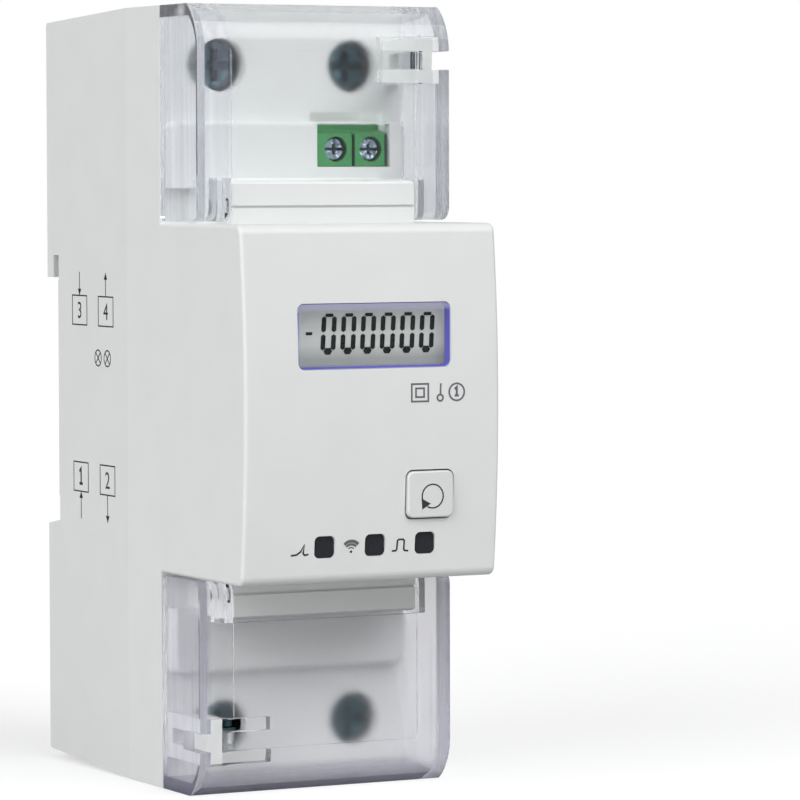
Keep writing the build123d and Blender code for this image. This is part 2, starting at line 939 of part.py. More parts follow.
def output_block():
    """Green block: two chambers with a screw hole in front, a wire entry above and a sloping top edge."""
    half = way_pitch * way_count / 2 + block_end_wall
    rear, front = main_board_depth, main_board_depth + block_height
    body = block(block_across - half, block_across + half, rear, front - block_key_height,
                 block_low, block_high)
    body = body + block(block_across - half, block_across + half - block_key_height,
                        front - block_key_height - overrun, front, block_low, block_high)
    for x in way_places():
        left, right = x - way_width / 2, x + way_width / 2
        chamber = block(left, right, rear + way_rear, rear + way_front, way_low, way_high)
        entry = block(x - entry_width / 2, x + entry_width / 2, rear + entry_rear, rear + entry_front,
                      way_high - overrun, block_high + overrun)
        hole = peg(x, way_screw_height, way_shank_radius + way_hole_play,
                   rear + way_front - overrun, front + overrun)
        head = peg(x, way_screw_height, way_well_radius,
                   front - way_head_sink - way_head_height - slip_gap, front + overrun)
        pin_slot = cuboid(x, contact_height(), pin_width + 2 * slip_gap, contact_thick + 2 * slip_gap,
                          rear - overrun, rear + way_rear + overrun)
        body = body - chamber - entry - hole - head - pin_slot
    groove = block(block_across - way_groove / 2, block_across + way_groove / 2,
                   front - way_groove_depth, front + overrun, block_low - overrun, block_high + overrun)
    above, ahead, back = block_high + overrun, front + overrun, front - block_slope_depth
    slope = slab(
        [(back, above), (back, block_high - block_slope_rear), (front, block_high - block_slope_front),
         (ahead, block_high - block_slope_front), (ahead, above)],
        block_across - half - overrun, block_across + half + overrun,
    )
    return body - groove - slope


def output_screw(x):
    """Small slotted clamp screw."""
    front = main_board_depth + block_height - way_head_sink
    head = peg(x, way_screw_height, way_head_radius, front - way_head_height, front)
    slot = cuboid(x, way_screw_height, 2 * way_head_radius + overrun, way_slot,
                  front - way_slot_depth, front + overrun)
    cross = cuboid(x, way_screw_height, way_slot, way_head_radius,
                   front - way_slot_depth, front + overrun)
    tip = clamp_front() - clamp_nut - slip_gap / 2
    return head - slot - cross + peg(x, way_screw_height, way_shank_radius, tip, front - way_head_height)


def clamp_front():
    return main_board_depth + clamp_start + clamp_length


def output_clamp(x):
    """Little cage that the small screw draws forward onto the wire."""
    rear, front = main_board_depth + clamp_start, clamp_front()
    outer = cuboid(x, way_screw_height, clamp_width, clamp_tall, rear, front)
    hole = cuboid(x, way_screw_height, clamp_width - 2 * clamp_wall, clamp_tall + overrun,
                  rear + clamp_wall, front - clamp_nut)
    thread = peg(x, way_screw_height, way_shank_radius + shaft_gap,
                 front - clamp_nut - overrun, front + overrun)
    return outer - hole - thread


def output_contacts():
    """Flat contacts inside the clamps, each with its solder pin through the main board."""
    contacts = []
    front = clamp_front() - clamp_nut - contact_gap
    low = contact_height() - contact_thick / 2
    for x in way_places():
        bar = block(x - contact_width / 2, x + contact_width / 2, front - contact_thick, front,
                    low, way_high - 2 * slip_gap)
        pin = cuboid(x, contact_height(), pin_width, contact_thick, main_board_rear - pin_tail, front)
        contacts.append(bar + pin)
    return Compound(children=contacts)


def terminal_places():
    """Terminals 1 and 2 at the lower end, 3 and 4 at the upper end, left then right."""
    return [(side * terminal_across, end * terminal_height) for end in (-1, 1) for side in (-1, 1)]


def terminal_screw(x, z):
    """Main screw with a slotted and crossed head; its tip bears on the bar."""
    head = peg(x, z, screw_head_radius, screw_head_rear, screw_head_front)
    head = fillet(head.faces().sort_by(Axis.Y)[0].edges(), edge_round / 2)
    long_slot = cuboid(x, z, 2 * screw_head_radius + overrun, screw_slot,
                       screw_head_front - screw_slot_depth, screw_head_front + overrun)
    cross_slot = cuboid(x, z, screw_slot, screw_head_radius + screw_slot,
                        screw_head_front - screw_slot_depth, screw_head_front + overrun)
    shank = peg(x, z, screw_radius, bar_front + slip_gap, screw_head_rear)
    return head - long_slot - cross_slot + shank


def terminal_cage(x, z):
    """Box clamp round bar and wire, with the threaded wall in front, shown fully open."""
    outer = cuboid(x, z, cage_width, cage_length, cage_rear, cage_front)
    hole = cuboid(x, z, cage_width - 2 * cage_wall, cage_length + overrun,
                  cage_rear + cage_wall, cage_front - cage_nut)
    outer = fillet(outer.edges().filter_by(Axis.Z), edge_round)
    thread = peg(x, z, screw_radius + shaft_gap, cage_front - cage_nut - overrun, cage_front + overrun)
    return outer - hole - thread


def bar_end():
    """Half height at which the busbars end, inside the cages."""
    return terminal_height + cage_length / 2 - cage_play


def flat_bar(x, low, high):
    return cuboid(x, (low + high) / 2, bar_width, high - low, bar_rear, bar_front)


def neutral_link():
    """Bridge between the two upper terminals, with the tap that feeds the main board."""
    cross = block(-terminal_across - bar_width / 2, terminal_across + bar_width / 2,
                  bar_rear, bar_front, link_bar_low, link_bar_high)
    legs = [flat_bar(side * terminal_across, link_bar_high - overrun, bar_end()) for side in (-1, 1)]
    tap = peg(0, (link_bar_low + link_bar_high) / 2, tap_radius, bar_front - slip_gap, main_board_rear)
    return cross + legs + tap


def bent_bar(x, start):
    """Bar that turns back beside the relay's blade."""
    end = -bar_bend_height
    flat = flat_bar(x, start, end)
    return flat + cuboid(x, end - bar_thick / 2, bar_width, bar_thick,
                         relay_blade_depth, bar_rear + slip_gap)


def line_in_bar():
    return flat_bar(-terminal_across, -bar_end(), -shunt_start - shunt_length)


def shunt_plate():
    """Resistance plate that the meter reads its current from."""
    plate_bar = flat_bar(-terminal_across, -shunt_start - shunt_length, -shunt_start)
    waist = bar_width * shunt_waist_share
    middle, tall = -shunt_start - shunt_length / 2, 2 * shunt_length * shunt_waist_share
    cuts = [
        cuboid(-terminal_across + side * bar_width / 2, middle, waist, tall,
               bar_rear - overrun, bar_front + overrun)
        for side in (-1, 1)
    ]
    return plate_bar - cuts


def relay_case():
    case = cuboid(0, 0, relay_width, relay_height, back_wall, back_wall + relay_depth)
    return fillet(case.faces().sort_by(Axis.Y)[0].edges(), relay_round)


def relay_blades():
    """Two copper blades that stand out of the relay's lower side."""
    low, high = -bar_bend_height, -relay_height / 2
    blades = [
        cuboid(side * terminal_across, (low + high) / 2, bar_width, high - low,
               relay_blade_depth, relay_blade_depth + relay_depth / 2)
        for side in (-1, 1)
    ]
    return Compound(children=blades)


def relay_pins():
    front = main_board_rear
    pins = [
        peg(side * relay_pin_across, relay_pin_height, relay_pin_radius, back_wall + relay_depth, front)
        for side in (-1, 1)
    ]
    return Compound(children=pins)


def on_board(place, size, lift=0):
    """Box standing on the main board."""
    width, height, tall = size
    return cuboid(*place, width, height, main_board_depth + lift, main_board_depth + lift + tall)


def transformer():
    """Ferrite core over a wider bobbin foot."""
    width, height, tall = transformer_size
    foot = on_board(transformer_place, (width, height, bobbin_height))
    inner = (width - bobbin_margin, height - bobbin_margin)
    winding = on_board(transformer_place, (*inner, tall - bobbin_height), bobbin_height)
    band = (width, height / 2, tall)
    return foot + winding + on_board(transformer_place, band)


def capacitors():
    """Two standing capacitors with a rolled bead near the board."""
    cans = []
    for x, z in capacitor_places:
        rear, front = main_board_depth, main_board_depth + capacitor_length
        can = peg(x, z, capacitor_radius, rear, front)
        can = fillet(can.faces().sort_by(Axis.Y)[0].edges(), edge_round)
        bead_rear = rear + capacitor_bead_rise
        bead = peg(x, z, capacitor_radius + overrun, bead_rear, bead_rear + 2 * capacitor_bead)
        bead = bead - peg(x, z, capacitor_radius - capacitor_bead, rear, front)
        cans.append(can - bead)
    return Compound(children=cans)


def varistor():
    """Upright disc on two wire legs."""
    x, z = varistor_place
    centre = main_board_depth + varistor_lift + varistor_radius
    outline = Pos(x, -centre) * Circle(varistor_radius)
    disc = extrude(Plane.XY.offset(z - varistor_thick / 2) * outline, varistor_thick)
    legs = [
        peg(x + side * varistor_radius / 2, z, varistor_leg, main_board_depth, centre)
        for side in (-1, 1)
    ]
    return disc + legs


def legged_chip(place, size, leg_rows):
    """Chip body on rows of short legs along its two long sides."""
    x, z = place
    width, height, tall = size
    body = on_board(place, (width, height, tall - chip_leg_thick), chip_leg_thick)
    span = chip_leg_pitch * (leg_rows - 1)
    reach = height / 2 + chip_leg_reach
    for index in range(leg_rows):
        leg_x = x - span / 2 + chip_leg_pitch * index
        foot = cuboid(leg_x, z, chip_leg_width, 2 * reach,
                      main_board_depth, main_board_depth + chip_leg_thick)
        body = body + foot
    return body


def radio_board():
    return on_board(radio_place, radio_board_size)


def radio_shield():
    """Thin metal lid over the wireless chip, clear of the aerial end."""
    x, z = radio_place
    width, height, tall = radio_shield_size
    place = (x, z + radio_shield_drop)
    lid = on_board(place, radio_shield_size, radio_board_size[2])
    inner = (width - 2 * sheet_wall, height - 2 * sheet_wall, tall - sheet_wall)
    return lid - on_board(place, inner, radio_board_size[2])


def rail_clip():
    """Sliding clip: nose behind the rail, skirts in the channel, spring window and driver slot."""
    half = clip_width / 2
    top, low = -rail_height / 2 + clip_bite, -half_height + clip_tab
    skirt_top = -slot_top - lip_slant - slip_gap
    base_front = -channel_floor - slip_gap
    wide = half + clip_skirt - slip_gap
    base = block(-wide, wide, base_front - clip_base, base_front, low + clip_travel + clip_tab, skirt_top)
    spine = block(-half, half, clip_front, base_front, low, -slot_top - slip_gap)
    nose = slab(
        [
            (-clip_rail_gap, -slot_top - overrun), (-clip_rail_gap, top),
            (clip_front + clip_nose_chamfer, top), (clip_front, top - clip_nose_chamfer),
            (clip_front, -slot_top - overrun),
        ],
        -half, half,
    )
    window = block(-clip_window_width / 2, clip_window_width / 2, clip_front - overrun, 0,
                   clip_window_low, clip_window_high)
    slot_low = low + clip_slot_inset
    driver = block(-clip_slot_width / 2, clip_slot_width / 2, clip_front - overrun, 0,
                   slot_low, slot_low + clip_slot_height)
    return base + spine + nose - window - driver


def clip_spring():
    """Serpentine strip spring between the clip's window and the stop on the housing."""
    high = clip_window_high - slip_gap / 2
    low = clip_window_low + slip_gap + spring_rest_height + slip_gap / 2
    step = (high - low) / spring_bends
    turn = step / 4
    reach = spring_width / 2 - turn
    points = [(0, low), (0, low + turn)]
    for index in range(spring_bends):
        side = 1 if index % 2 else -1
        height = low + step * index + 2 * turn
        points += [(side * reach, height - turn), (side * reach, height + turn)]
    points += [(0, high - turn), (0, high)]
    path = FilletPolyline(*points, radius=spring_bend_radius)
    ribbon = trace(path, spring_strip)
    rear = (clip_front - channel_floor - spring_depth) / 2
    return extrude(Plane.XZ.offset(rear) * ribbon, spring_depth)


def write(name, shape):
    export_step(shape, f"parts/{name}.step")


def main():
    os.makedirs("parts", exist_ok=True)
    upper = terminal_cover()
    pieces = {
        "rear_housing": rear_housing(),
        "front_housing": front_housing(),
        "upper_terminal_cover": upper,
        "lower_terminal_cover": turned(upper),
        "display_window": display_window(),
        "display_glass": display_glass(),
        "display_pins": display_pins(),
        "light_guide": light_guide(),
        "display_frame": display_frame(),
        "display_board": display_board(),
        "indicator_lenses": indicator_lenses(),
        "indicator_diodes": indicator_diodes(),
        "front_button": front_button(),
        "switch_body": switch_body(),
        "switch_plunger": switch_plunger(),
        "link_pins": link_pins(),
        "link_strip": link_strip(),
        "main_board": main_board(),
        "output_block": output_block(),
        "output_contacts": output_contacts(),
        "neutral_link": neutral_link(),
        "line_in_bar": line_in_bar(),
        "shunt_plate": shunt_plate(),
        "relay_in_bar": bent_bar(-terminal_across, -shunt_start),
        "line_out_bar": bent_bar(terminal_across, -bar_end()),
        "relay_case": relay_case(),
        "relay_blades": relay_blades(),
        "relay_pins": relay_pins(),
        "transformer": transformer(),
        "capacitors": capacitors(),
        "varistor": varistor(),
        "rectifier": on_board(rectifier_place, rectifier_size),
        "meter_chip": legged_chip(meter_chip_place, meter_chip_size, meter_chip_legs),
        "optocoupler": legged_chip(opto_place, opto_size, opto_legs),
        "radio_board": radio_board(),
        "radio_shield": radio_shield(),
        "rail_clip": rail_clip(),
        "clip_spring": clip_spring(),
    }
    for number, place in enumerate(terminal_places(), start=1):
        pieces[f"terminal_screw_{number}"] = terminal_screw(*place)
        pieces[f"terminal_cage_{number}"] = terminal_cage(*place)
    for number, x in enumerate(way_places(), start=1):
        pieces[f"output_screw_{number}"] = output_screw(x)
        pieces[f"output_clamp_{number}"] = output_clamp(x)
    for name, shape in pieces.items():
        write(name, shape)


if __name__ == "__main__":
    main()
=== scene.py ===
"""Looks of a two-module energy monitor that stands on a pale studio floor.

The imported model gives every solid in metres, with X across the unit, Y back towards its rail and Z up.
A depth in this file is a distance forward of the rail seat, so a depth of d lies at Y = -d. Lengths in
the classes are millimetres, and they are turned to metres where a mesh or a material is made.
"""
import logging
from collections.abc import Callable, Sequence
from dataclasses import dataclass
from enum import Enum
from functools import partial
from math import cos, hypot, pi, radians, sin, sqrt

import bmesh
import bpy
from mathutils import Matrix, Vector


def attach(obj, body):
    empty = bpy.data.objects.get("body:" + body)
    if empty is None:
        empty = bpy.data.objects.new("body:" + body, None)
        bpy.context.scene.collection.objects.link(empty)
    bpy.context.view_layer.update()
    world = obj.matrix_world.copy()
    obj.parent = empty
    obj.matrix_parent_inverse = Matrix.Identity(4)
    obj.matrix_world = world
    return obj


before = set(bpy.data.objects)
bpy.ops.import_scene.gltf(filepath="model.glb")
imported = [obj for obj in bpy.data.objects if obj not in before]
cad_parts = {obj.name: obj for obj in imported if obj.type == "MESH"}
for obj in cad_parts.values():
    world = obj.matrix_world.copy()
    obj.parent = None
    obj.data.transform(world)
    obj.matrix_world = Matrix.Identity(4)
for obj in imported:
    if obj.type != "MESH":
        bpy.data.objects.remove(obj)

Point = tuple[float, float]
Triple = tuple[float, float, float]
Colour = Triple
Faces = list[list[Point]]
Socket = bpy.types.NodeSocket

LOG = logging.getLogger("energy_monitor")
MM = 0.001
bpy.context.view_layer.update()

# What noise mostly stays between, and its cells in a metre: slow tones, flow marks and streaks.
NOISE_LOW, NOISE_HIGH = 0.3, 0.7
CLOUD_SCALE, FLOW_SCALE, STREAK_SCALE = 160.0, 120.0, 700.0
FLOW_STRETCH, STREAK_STRETCH = (1, 1, 0.3), (1, 1, 0.03)
COAT_ROUGHNESS = 0.08
# Shares by which gloss and haze vary, in solid plastic and along flow marks.
GLOSS_PLAY, FLOW_PLAY, HAZE_PLAY = 0.1, 0.2, 0.1
# A face whose normal has less than this along Y is a side face.
SIDEWAYS = 0.5
# Keeps the mitre of a sharp corner from growing into a spike.
MITRE_LIMIT = 0.6
RING_STEPS = 40
# Half width of a drawn 1 as a share of its height, and height of its flag as a share of half of it.
ONE_REACH, ONE_FLAG = 0.24, 0.62


def shade(red: int, green: int, blue: int) -> Colour:
    """Turn a colour of three display values from 0 to 255 into linear light.

    Args:
        red: Red as it shows on a display.
        green: Green as it shows on a display.
        blue: Blue as it shows on a display.

    Returns:
        The colour in linear light.
    """
    def linear(value: int) -> float:
        """One channel in linear light, by the sRGB curve."""
        share = value / 255
        return share / 12.92 if share <= 0.04045 else ((share + 0.055) / 1.055) ** 2.4

    return linear(red), linear(green), linear(blue)


def around(value: float, play: float) -> Point:
    """The two ends of a value that varies by a share of itself."""
    return value * (1 - play), value * (1 + play)


class Grain(Enum):
    """Surface texture that a finish shows close up."""

    MOULDED = "moulded"
    BRUSHED = "brushed"
    WOVEN = "woven"
    TAPED = "taped"
    CAST = "cast"


class NodeTree:
    """Small helper that adds nodes and links to the tree of a material, a world or a node group."""

    def __init__(self, holder: bpy.types.ID) -> None:
        """Start with the holder's tree, emptied.

        Args:
            holder: A material, a world or a node group.
        """
        self.holder = self.tree = holder
        if not isinstance(holder, bpy.types.NodeTree):
            holder.use_nodes = True
            self.tree = holder.node_tree
        self.tree.nodes.clear()

    def link(self, source: Socket, target: Socket) -> None:
        """Join an output to an input."""
        self.tree.links.new(source, target)

    def feed(self, socket: Socket, value: object) -> None:
        """Give an input what it needs.

        Args:
            socket: The input.
            value: An output to join to it, or a colour or other value to set on it.
        """
        if isinstance(value, Socket):
            self.link(value, socket)
        else:
            socket.default_value = (*value, 1) if socket.type == "RGBA" else value

    def add(self, kind: str, inputs: "dict[str, object] | None" = None, **settings: object) -> bpy.types.Node:
        """Add a node.

        Args:
            kind: Blender's name of the node type.
            inputs: What its inputs get, by their names.
            **settings: Properties of the node to set.

        Returns:
            The new node.
        """
        node = self.tree.nodes.new(kind)
        for key, value in settings.items():
            setattr(node, key, value)
        for name, value in (inputs or {}).items():
            self.feed(node.inputs[name], value)
        return node

    def place(self, stretch: Triple = (1, 1, 1)) -> Socket:
        """Object coordinates, stretched along the axes."""
        source = self.add("ShaderNodeTexCoord").outputs["Object"]
        return self.add("ShaderNodeMapping", {"Vector": source, "Scale": stretch}).outputs["Vector"]

    def noise(self, vector: Socket, scale: float, detail: float) -> Socket:
        """Noise from 0 to 1, with a scale in cells to the metre and a number of finer layers."""
        inputs = {"Vector": vector, "Scale": scale, "Detail": detail}
        return self.add("ShaderNodeTexNoise", inputs).outputs["Fac"]

    def spread(self, value: Socket, low: float, high: float) -> Socket:
        """Map what noise mostly gives onto a range."""
        ends = {"From Min": NOISE_LOW, "From Max": NOISE_HIGH, "To Min": low, "To Max": high}
        return self.add("ShaderNodeMapRange", {"Value": value, **ends}).outputs["Result"]

    def math(self, operation: str, *values: "Socket | float") -> Socket:
        """Arithmetic on sockets and numbers.

        Args:
            operation: Blender's name of the operation.
            *values: Inputs in order.

        Returns:
            The result.
        """
        node = self.add("ShaderNodeMath", operation=operation)
        for socket, value in zip(node.inputs, values):
            self.feed(socket, value)
        return node.outputs[0]

    def fold(self, operation: str, first: Socket, *others: "Socket | float") -> Socket:
        """Join any number of values by an operation on two.

        Args:
            operation: Blender's name of the operation.
            first: First value.
            *others: The values that follow it.

        Returns:
            The result.
        """
        for other in others:
            first = self.math(operation, first, other)
        return first

    def mix(self, factor: Socket, first: Colour, second: Colour) -> Socket:
        """Colour between two colours.

        Args:
            factor: Share of the second colour.
            first: Colour for 0.
            second: Colour for 1.

        Returns:
            The mixed colour.
        """
        node = self.add("ShaderNodeMix", {"Factor": factor}, data_type="RGBA")
        colours = [socket for socket in node.inputs if socket.type == "RGBA"]
        for socket, colour in zip(colours, (first, second)):
            self.feed(socket, colour)
        return next(socket for socket in node.outputs if socket.type == "RGBA")

    def where(self) -> dict[str, Socket]:
        """The three object coordinates, by the name of their axis."""
        source = self.add("ShaderNodeTexCoord").outputs["Object"]
        return dict(zip("XYZ", self.add("ShaderNodeSeparateXYZ", {"Vector": source}).outputs))

    def beyond(self, value: Socket, limit: float) -> Socket:
        """1 where a coordinate is further than a limit in millimetres from nought either way, or else 0."""
        return self.math("GREATER_THAN", self.math("ABSOLUTE", value), limit * MM)

    def ramp(self, value: Socket, start: float, end: float) -> Socket:
        """Even run from 0 to 1 between two coordinates in millimetres, held beyond them."""
        ends = {"From Min": start * MM, "From Max": end * MM}
        return self.add("ShaderNodeMapRange", {"Value": value, **ends}).outputs["Result"]

    def scale(self, colour: Socket, light: Socket) -> Socket:
        """A colour times a share of light."""
        inputs = {"Vector": colour, "Scale": light}
        return self.add("ShaderNodeVectorMath", inputs, operation="SCALE").outputs[0]

    def blend(self, share: Socket, first: Socket, second: Socket) -> Socket:
        """Mix two shaders.

        Args:
            share: Share of the second shader.
            first: Shader for 0.
            second: Shader for 1.

        Returns:
            The mixed shader.
        """
        node = self.add("ShaderNodeMixShader")
        for socket, source in zip(node.inputs, (share, first, second)):
            self.link(source, socket)
        return node.outputs[0]

    def bump(self, height: Socket, depth: float) -> Socket:
        """Normal bent by a height from 0 to 1, with the relief's depth in millimetres."""
        inputs = {"Height": height, "Distance": depth * MM, "Strength": 1.0}
        return self.add("ShaderNodeBump", inputs).outputs["Normal"]

    def seen_straight(self) -> Socket:
        """1 for what the camera sees, straight or through glass, or else 0.

        Returns:
            The mask, which is 0 for light that reaches a surface and scatters there.
        """
        path = self.add("ShaderNodeLightPath").outputs
        seen = self.math("MAXIMUM", path["Is Camera Ray"], path["Is Transmission Ray"])
        return self.math("GREATER_THAN", seen, path["Diffuse Depth"])

    def output(self, shader: Socket, kind: str = "Material") -> bpy.types.ID:
        """Join a shader to the output of a material or world, and give that back."""
        self.link(shader, self.add(f"ShaderNodeOutput{kind}").inputs["Surface"])
        return self.holder


@dataclass(frozen=True)
class Finish:
    """Solid surface: its colour, its gloss and the grain that it shows close up."""

    name: str
    colour: Colour
    roughness: float = 0.45
    metallic: float = 0.0
    specular: float = 0.5
    coat: float = 0.0
    glow: float = 0.0
    grain: Grain = Grain.MOULDED
    grain_size: float = 0.35
    relief: float = 0.004
    tone: float = 0.03

    def height(self, nodes: NodeTree) -> Socket:
        """Relief of the grain.

        Args:
            nodes: The material's nodes.

        Returns:
            Height from 0 to 1.
        """
        stretch = {Grain.BRUSHED: (1, 0.08, 1), Grain.TAPED: (0.2, 1, 0.2)}
        vector = nodes.place(stretch.get(self.grain, (1, 1, 1)))
        scale = 1 / (self.grain_size * MM)
        if self.grain is Grain.WOVEN:
            threads = {"Vector": vector, "Scale": scale / 2}
            waves = [nodes.add("ShaderNodeTexWave", threads, bands_direction=way) for way in "XZ"]
            return nodes.math("MULTIPLY", *[wave.outputs["Fac"] for wave in waves])
        if self.grain is Grain.CAST:
            return nodes.add("ShaderNodeTexVoronoi", {"Vector": vector, "Scale": scale}).outputs["Distance"]
        return nodes.noise(vector, scale, 4.0)

    def tint(self, nodes: NodeTree, colour: Socket) -> Socket:
        """Colour after any change over the piece; plain here."""
        return colour

    def shine(self, nodes: NodeTree, colour: Socket) -> Socket:
        """Colour of the light that the piece gives by itself; its own colour here."""
        return colour

    def build(self) -> bpy.types.Material:
        """Make the material.

        Returns:
            A material whose tone, gloss and relief vary over the surface.
        """
        nodes = NodeTree(bpy.data.materials.new(self.name))
        clouds = nodes.spread(nodes.noise(nodes.place(), CLOUD_SCALE, 2.0), 0.0, 1.0)
        tones = [tuple(channel * factor for channel in self.colour) for factor in around(1.0, self.tone)]
        colour = self.tint(nodes, nodes.mix(clouds, *tones))
        height = self.height(nodes)
        inputs = {
            "Base Color": colour,
            "Roughness": nodes.spread(height, *around(self.roughness, GLOSS_PLAY)),
            "Metallic": self.metallic,
            "Specular IOR Level": self.specular,
            "Coat Weight": self.coat,
            "Coat Roughness": COAT_ROUGHNESS,
        }
        if self.relief:
            inputs["Normal"] = nodes.bump(height, self.relief)
        if self.glow:
            inputs["Emission Color"] = self.shine(nodes, colour)
            inputs["Emission Strength"] = self.glow
        return nodes.output(nodes.add("ShaderNodeBsdfPrincipled", inputs).outputs[0])


@dataclass(frozen=True)
class PocketGlowFinish(Finish):
    """White plastic with painted light of its own inside the wire pocket, which lightens the shade there."""

    centre: Triple = (8.65, -29.8, 36.1)
    half: Triple = (5.6, 3.1, 0.9)

    def shine(self, nodes: NodeTree, colour: Socket) -> Socket:
        """Colour of the painted light: the plastic's colour inside the pocket, and black elsewhere.

        Args:
            nodes: The material's nodes.
            colour: The plastic's colour.

        Returns:
            The colour of the light.
        """
        inside = [
            nodes.math("COMPARE", socket, middle * MM, reach * MM)
            for socket, middle, reach in zip(nodes.where().values(), self.centre, self.half)
        ]
        return nodes.scale(colour, nodes.fold("MULTIPLY", *inside))


@dataclass(frozen=True)
class RecessShadeFinish(Finish):
    """Surface with slots or wells in its front, darkened there by painted shade."""

    rim_depth: float = 0.0
    top: float = 100.0
    dim: float = 0.3

    def tint(self, nodes: NodeTree, colour: Socket) -> Socket:
        """Dim the colour behind the rim's depth and below the top height, as painted shade in the hollows.

        Args:
            nodes: The material's nodes.
            colour: Colour of the front.

        Returns:
            The colour with its painted shade.
        """
        where = nodes.where()
        behind = nodes.math("GREATER_THAN", where["Y"], -self.rim_depth * MM)
        under = nodes.math("LESS_THAN", where["Z"], self.top * MM)
        painted_shade = nodes.math("MULTIPLY", behind, under)
        return nodes.scale(colour, nodes.math("MULTIPLY_ADD", painted_shade, self.dim - 1, 1.0))


@dataclass(frozen=True)
class ScreenFinish(Finish):
    """Display glass with painted shade that darkens it towards its lower edge."""

    even_above: float = 7.4
    darkest: float = 5.6
    dim: float = 0.6

    def tint(self, nodes: NodeTree, colour: Socket) -> Socket:
        """Colour dimmed by height, as painted shade towards the lower edge."""
        share = nodes.ramp(nodes.where()["Z"], self.darkest, self.even_above)
        return nodes.scale(colour, nodes.math("MULTIPLY_ADD", share, 1 - self.dim, self.dim))


@dataclass(frozen=True)
class ClearFinish:
    """Clear moulded plastic that bends light and lets the lamps through to what it covers."""

    name: str
    tint: Colour
    roughness: float
    bend: float = 1.49
    sheen: float = 1.0
    haze: float = 0.0
    haze_colour: Colour = (0.8, 0.82, 0.86)
    let_through: float = 0.98

    def rough(self, nodes: NodeTree, flow: Socket) -> Socket:
        """Roughness that follows the flow marks."""
        return nodes.spread(flow, *around(self.roughness, FLOW_PLAY))

    def cloud(self, nodes: NodeTree, flow: Socket) -> Socket:
        """Share of haze."""
        return nodes.spread(flow, *around(self.haze, HAZE_PLAY))

    def dye(self, nodes: NodeTree) -> "Colour | Socket":
        """Colour of the haze; plain here."""
        return self.haze_colour

    def surface(self, nodes: NodeTree) -> Socket:
        """Shader of the plastic.

        Args:
            nodes: The material's nodes.

        Returns:
            Refraction with a faint haze and slight flow marks.
        """
        flow = nodes.noise(nodes.place(FLOW_STRETCH), FLOW_SCALE, 2.0)
        clear = nodes.add("ShaderNodeBsdfPrincipled", {
            "Base Color": self.tint,
            "Transmission Weight": 1.0,
            "IOR": self.bend,
            "Specular Tint": (self.sheen, self.sheen, self.sheen),
            "Roughness": self.rough(nodes, flow),
        }).outputs[0]
        if not self.haze:
            return clear
        dull = nodes.add("ShaderNodeBsdfDiffuse", {"Color": self.dye(nodes)}).outputs[0]
        return nodes.blend(self.cloud(nodes, flow), clear, dull)

    def build(self) -> bpy.types.Material:
        """Make the material.

        Returns:
            The plastic, open to the light of the lamps.
        """
        nodes = NodeTree(bpy.data.materials.new(self.name))
        shadow = nodes.add("ShaderNodeLightPath").outputs["Is Shadow Ray"]
        dimmed = tuple(self.let_through * channel for channel in self.tint)
        open_way = nodes.add("ShaderNodeBsdfTransparent", {"Color": dimmed}).outputs[0]
        return nodes.output(nodes.blend(shadow, self.surface(nodes), open_way))


@dataclass(frozen=True)
class CoverFinish(ClearFinish):
    """Hinged cover's plastic: faintly frosted panel and sides, streaked corners, and an outer end whose haze
    can take a dark colour as painted shade.
    """

    sheen: float = 0.4
    panel_half: float = 13.2
    panel_depth: float = 42.0
    frost: float = 0.16
    frost_start: float = 34.6
    frost_full: float = 35.8
    side_half: float = 16.4
    side_frost: float = 0.12
    side_haze: float = 0.0
    streak: float = 0.3
    end_start: float = 47.5
    end_full: float = 50.4
    end_haze: float = 0.0
    end_colour: Colour = shade(200, 203, 212)

    def rough(self, nodes: NodeTree, flow: Socket) -> Socket:
        """Roughness of the corners, raised on the panel and on the side walls.

        Args:
            nodes: The material's nodes.
            flow: The flow marks.

        Returns:
            The roughness.
        """
        where = nodes.where()
        ahead = nodes.math("LESS_THAN", where["Y"], -self.panel_depth * MM)
        within = nodes.math("SUBTRACT", 1.0, nodes.beyond(where["X"], self.panel_half))
        height = nodes.ramp(nodes.math("ABSOLUTE", where["Z"]), self.frost_start, self.frost_full)
        panel = nodes.fold("MULTIPLY", ahead, within, height, self.frost)
        side = nodes.math("MULTIPLY", nodes.beyond(where["X"], self.side_half), self.side_frost)
        return nodes.fold("MAXIMUM", super().rough(nodes, flow), panel, side)

    def cloud(self, nodes: NodeTree, flow: Socket) -> Socket:
        """Share of haze, with upright streaks beside the panel and more of it at the sides and the end; the
        side and end shares are painted shade when their colour is dull.

        Args:
            nodes: The material's nodes.
            flow: The flow marks.

        Returns:
            The share.
        """
        across = nodes.where()["X"]
        lines = nodes.spread(nodes.noise(nodes.place(STREAK_STRETCH), STREAK_SCALE, 3.0), 0.0, self.streak)
        streaks = nodes.math("MULTIPLY", lines, nodes.beyond(across, self.panel_half))
        side = nodes.math("MULTIPLY", nodes.beyond(across, self.side_half), self.side_haze)
        end = nodes.math("MULTIPLY", self.end_share(nodes), self.end_haze)
        return nodes.fold("MAXIMUM", super().cloud(nodes, flow), side, streaks, end)

    def end_share(self, nodes: NodeTree) -> Socket:
        """Nearness to the outer end."""
        return nodes.ramp(nodes.math("ABSOLUTE", nodes.where()["Z"]), self.end_start, self.end_full)

    def dye(self, nodes: NodeTree) -> Socket:
        """The haze's colour, which runs into the end's colour; a dark end colour paints shade on the outer
        end.
        """
        return nodes.mix(self.end_share(nodes), self.haze_colour, self.end_colour)


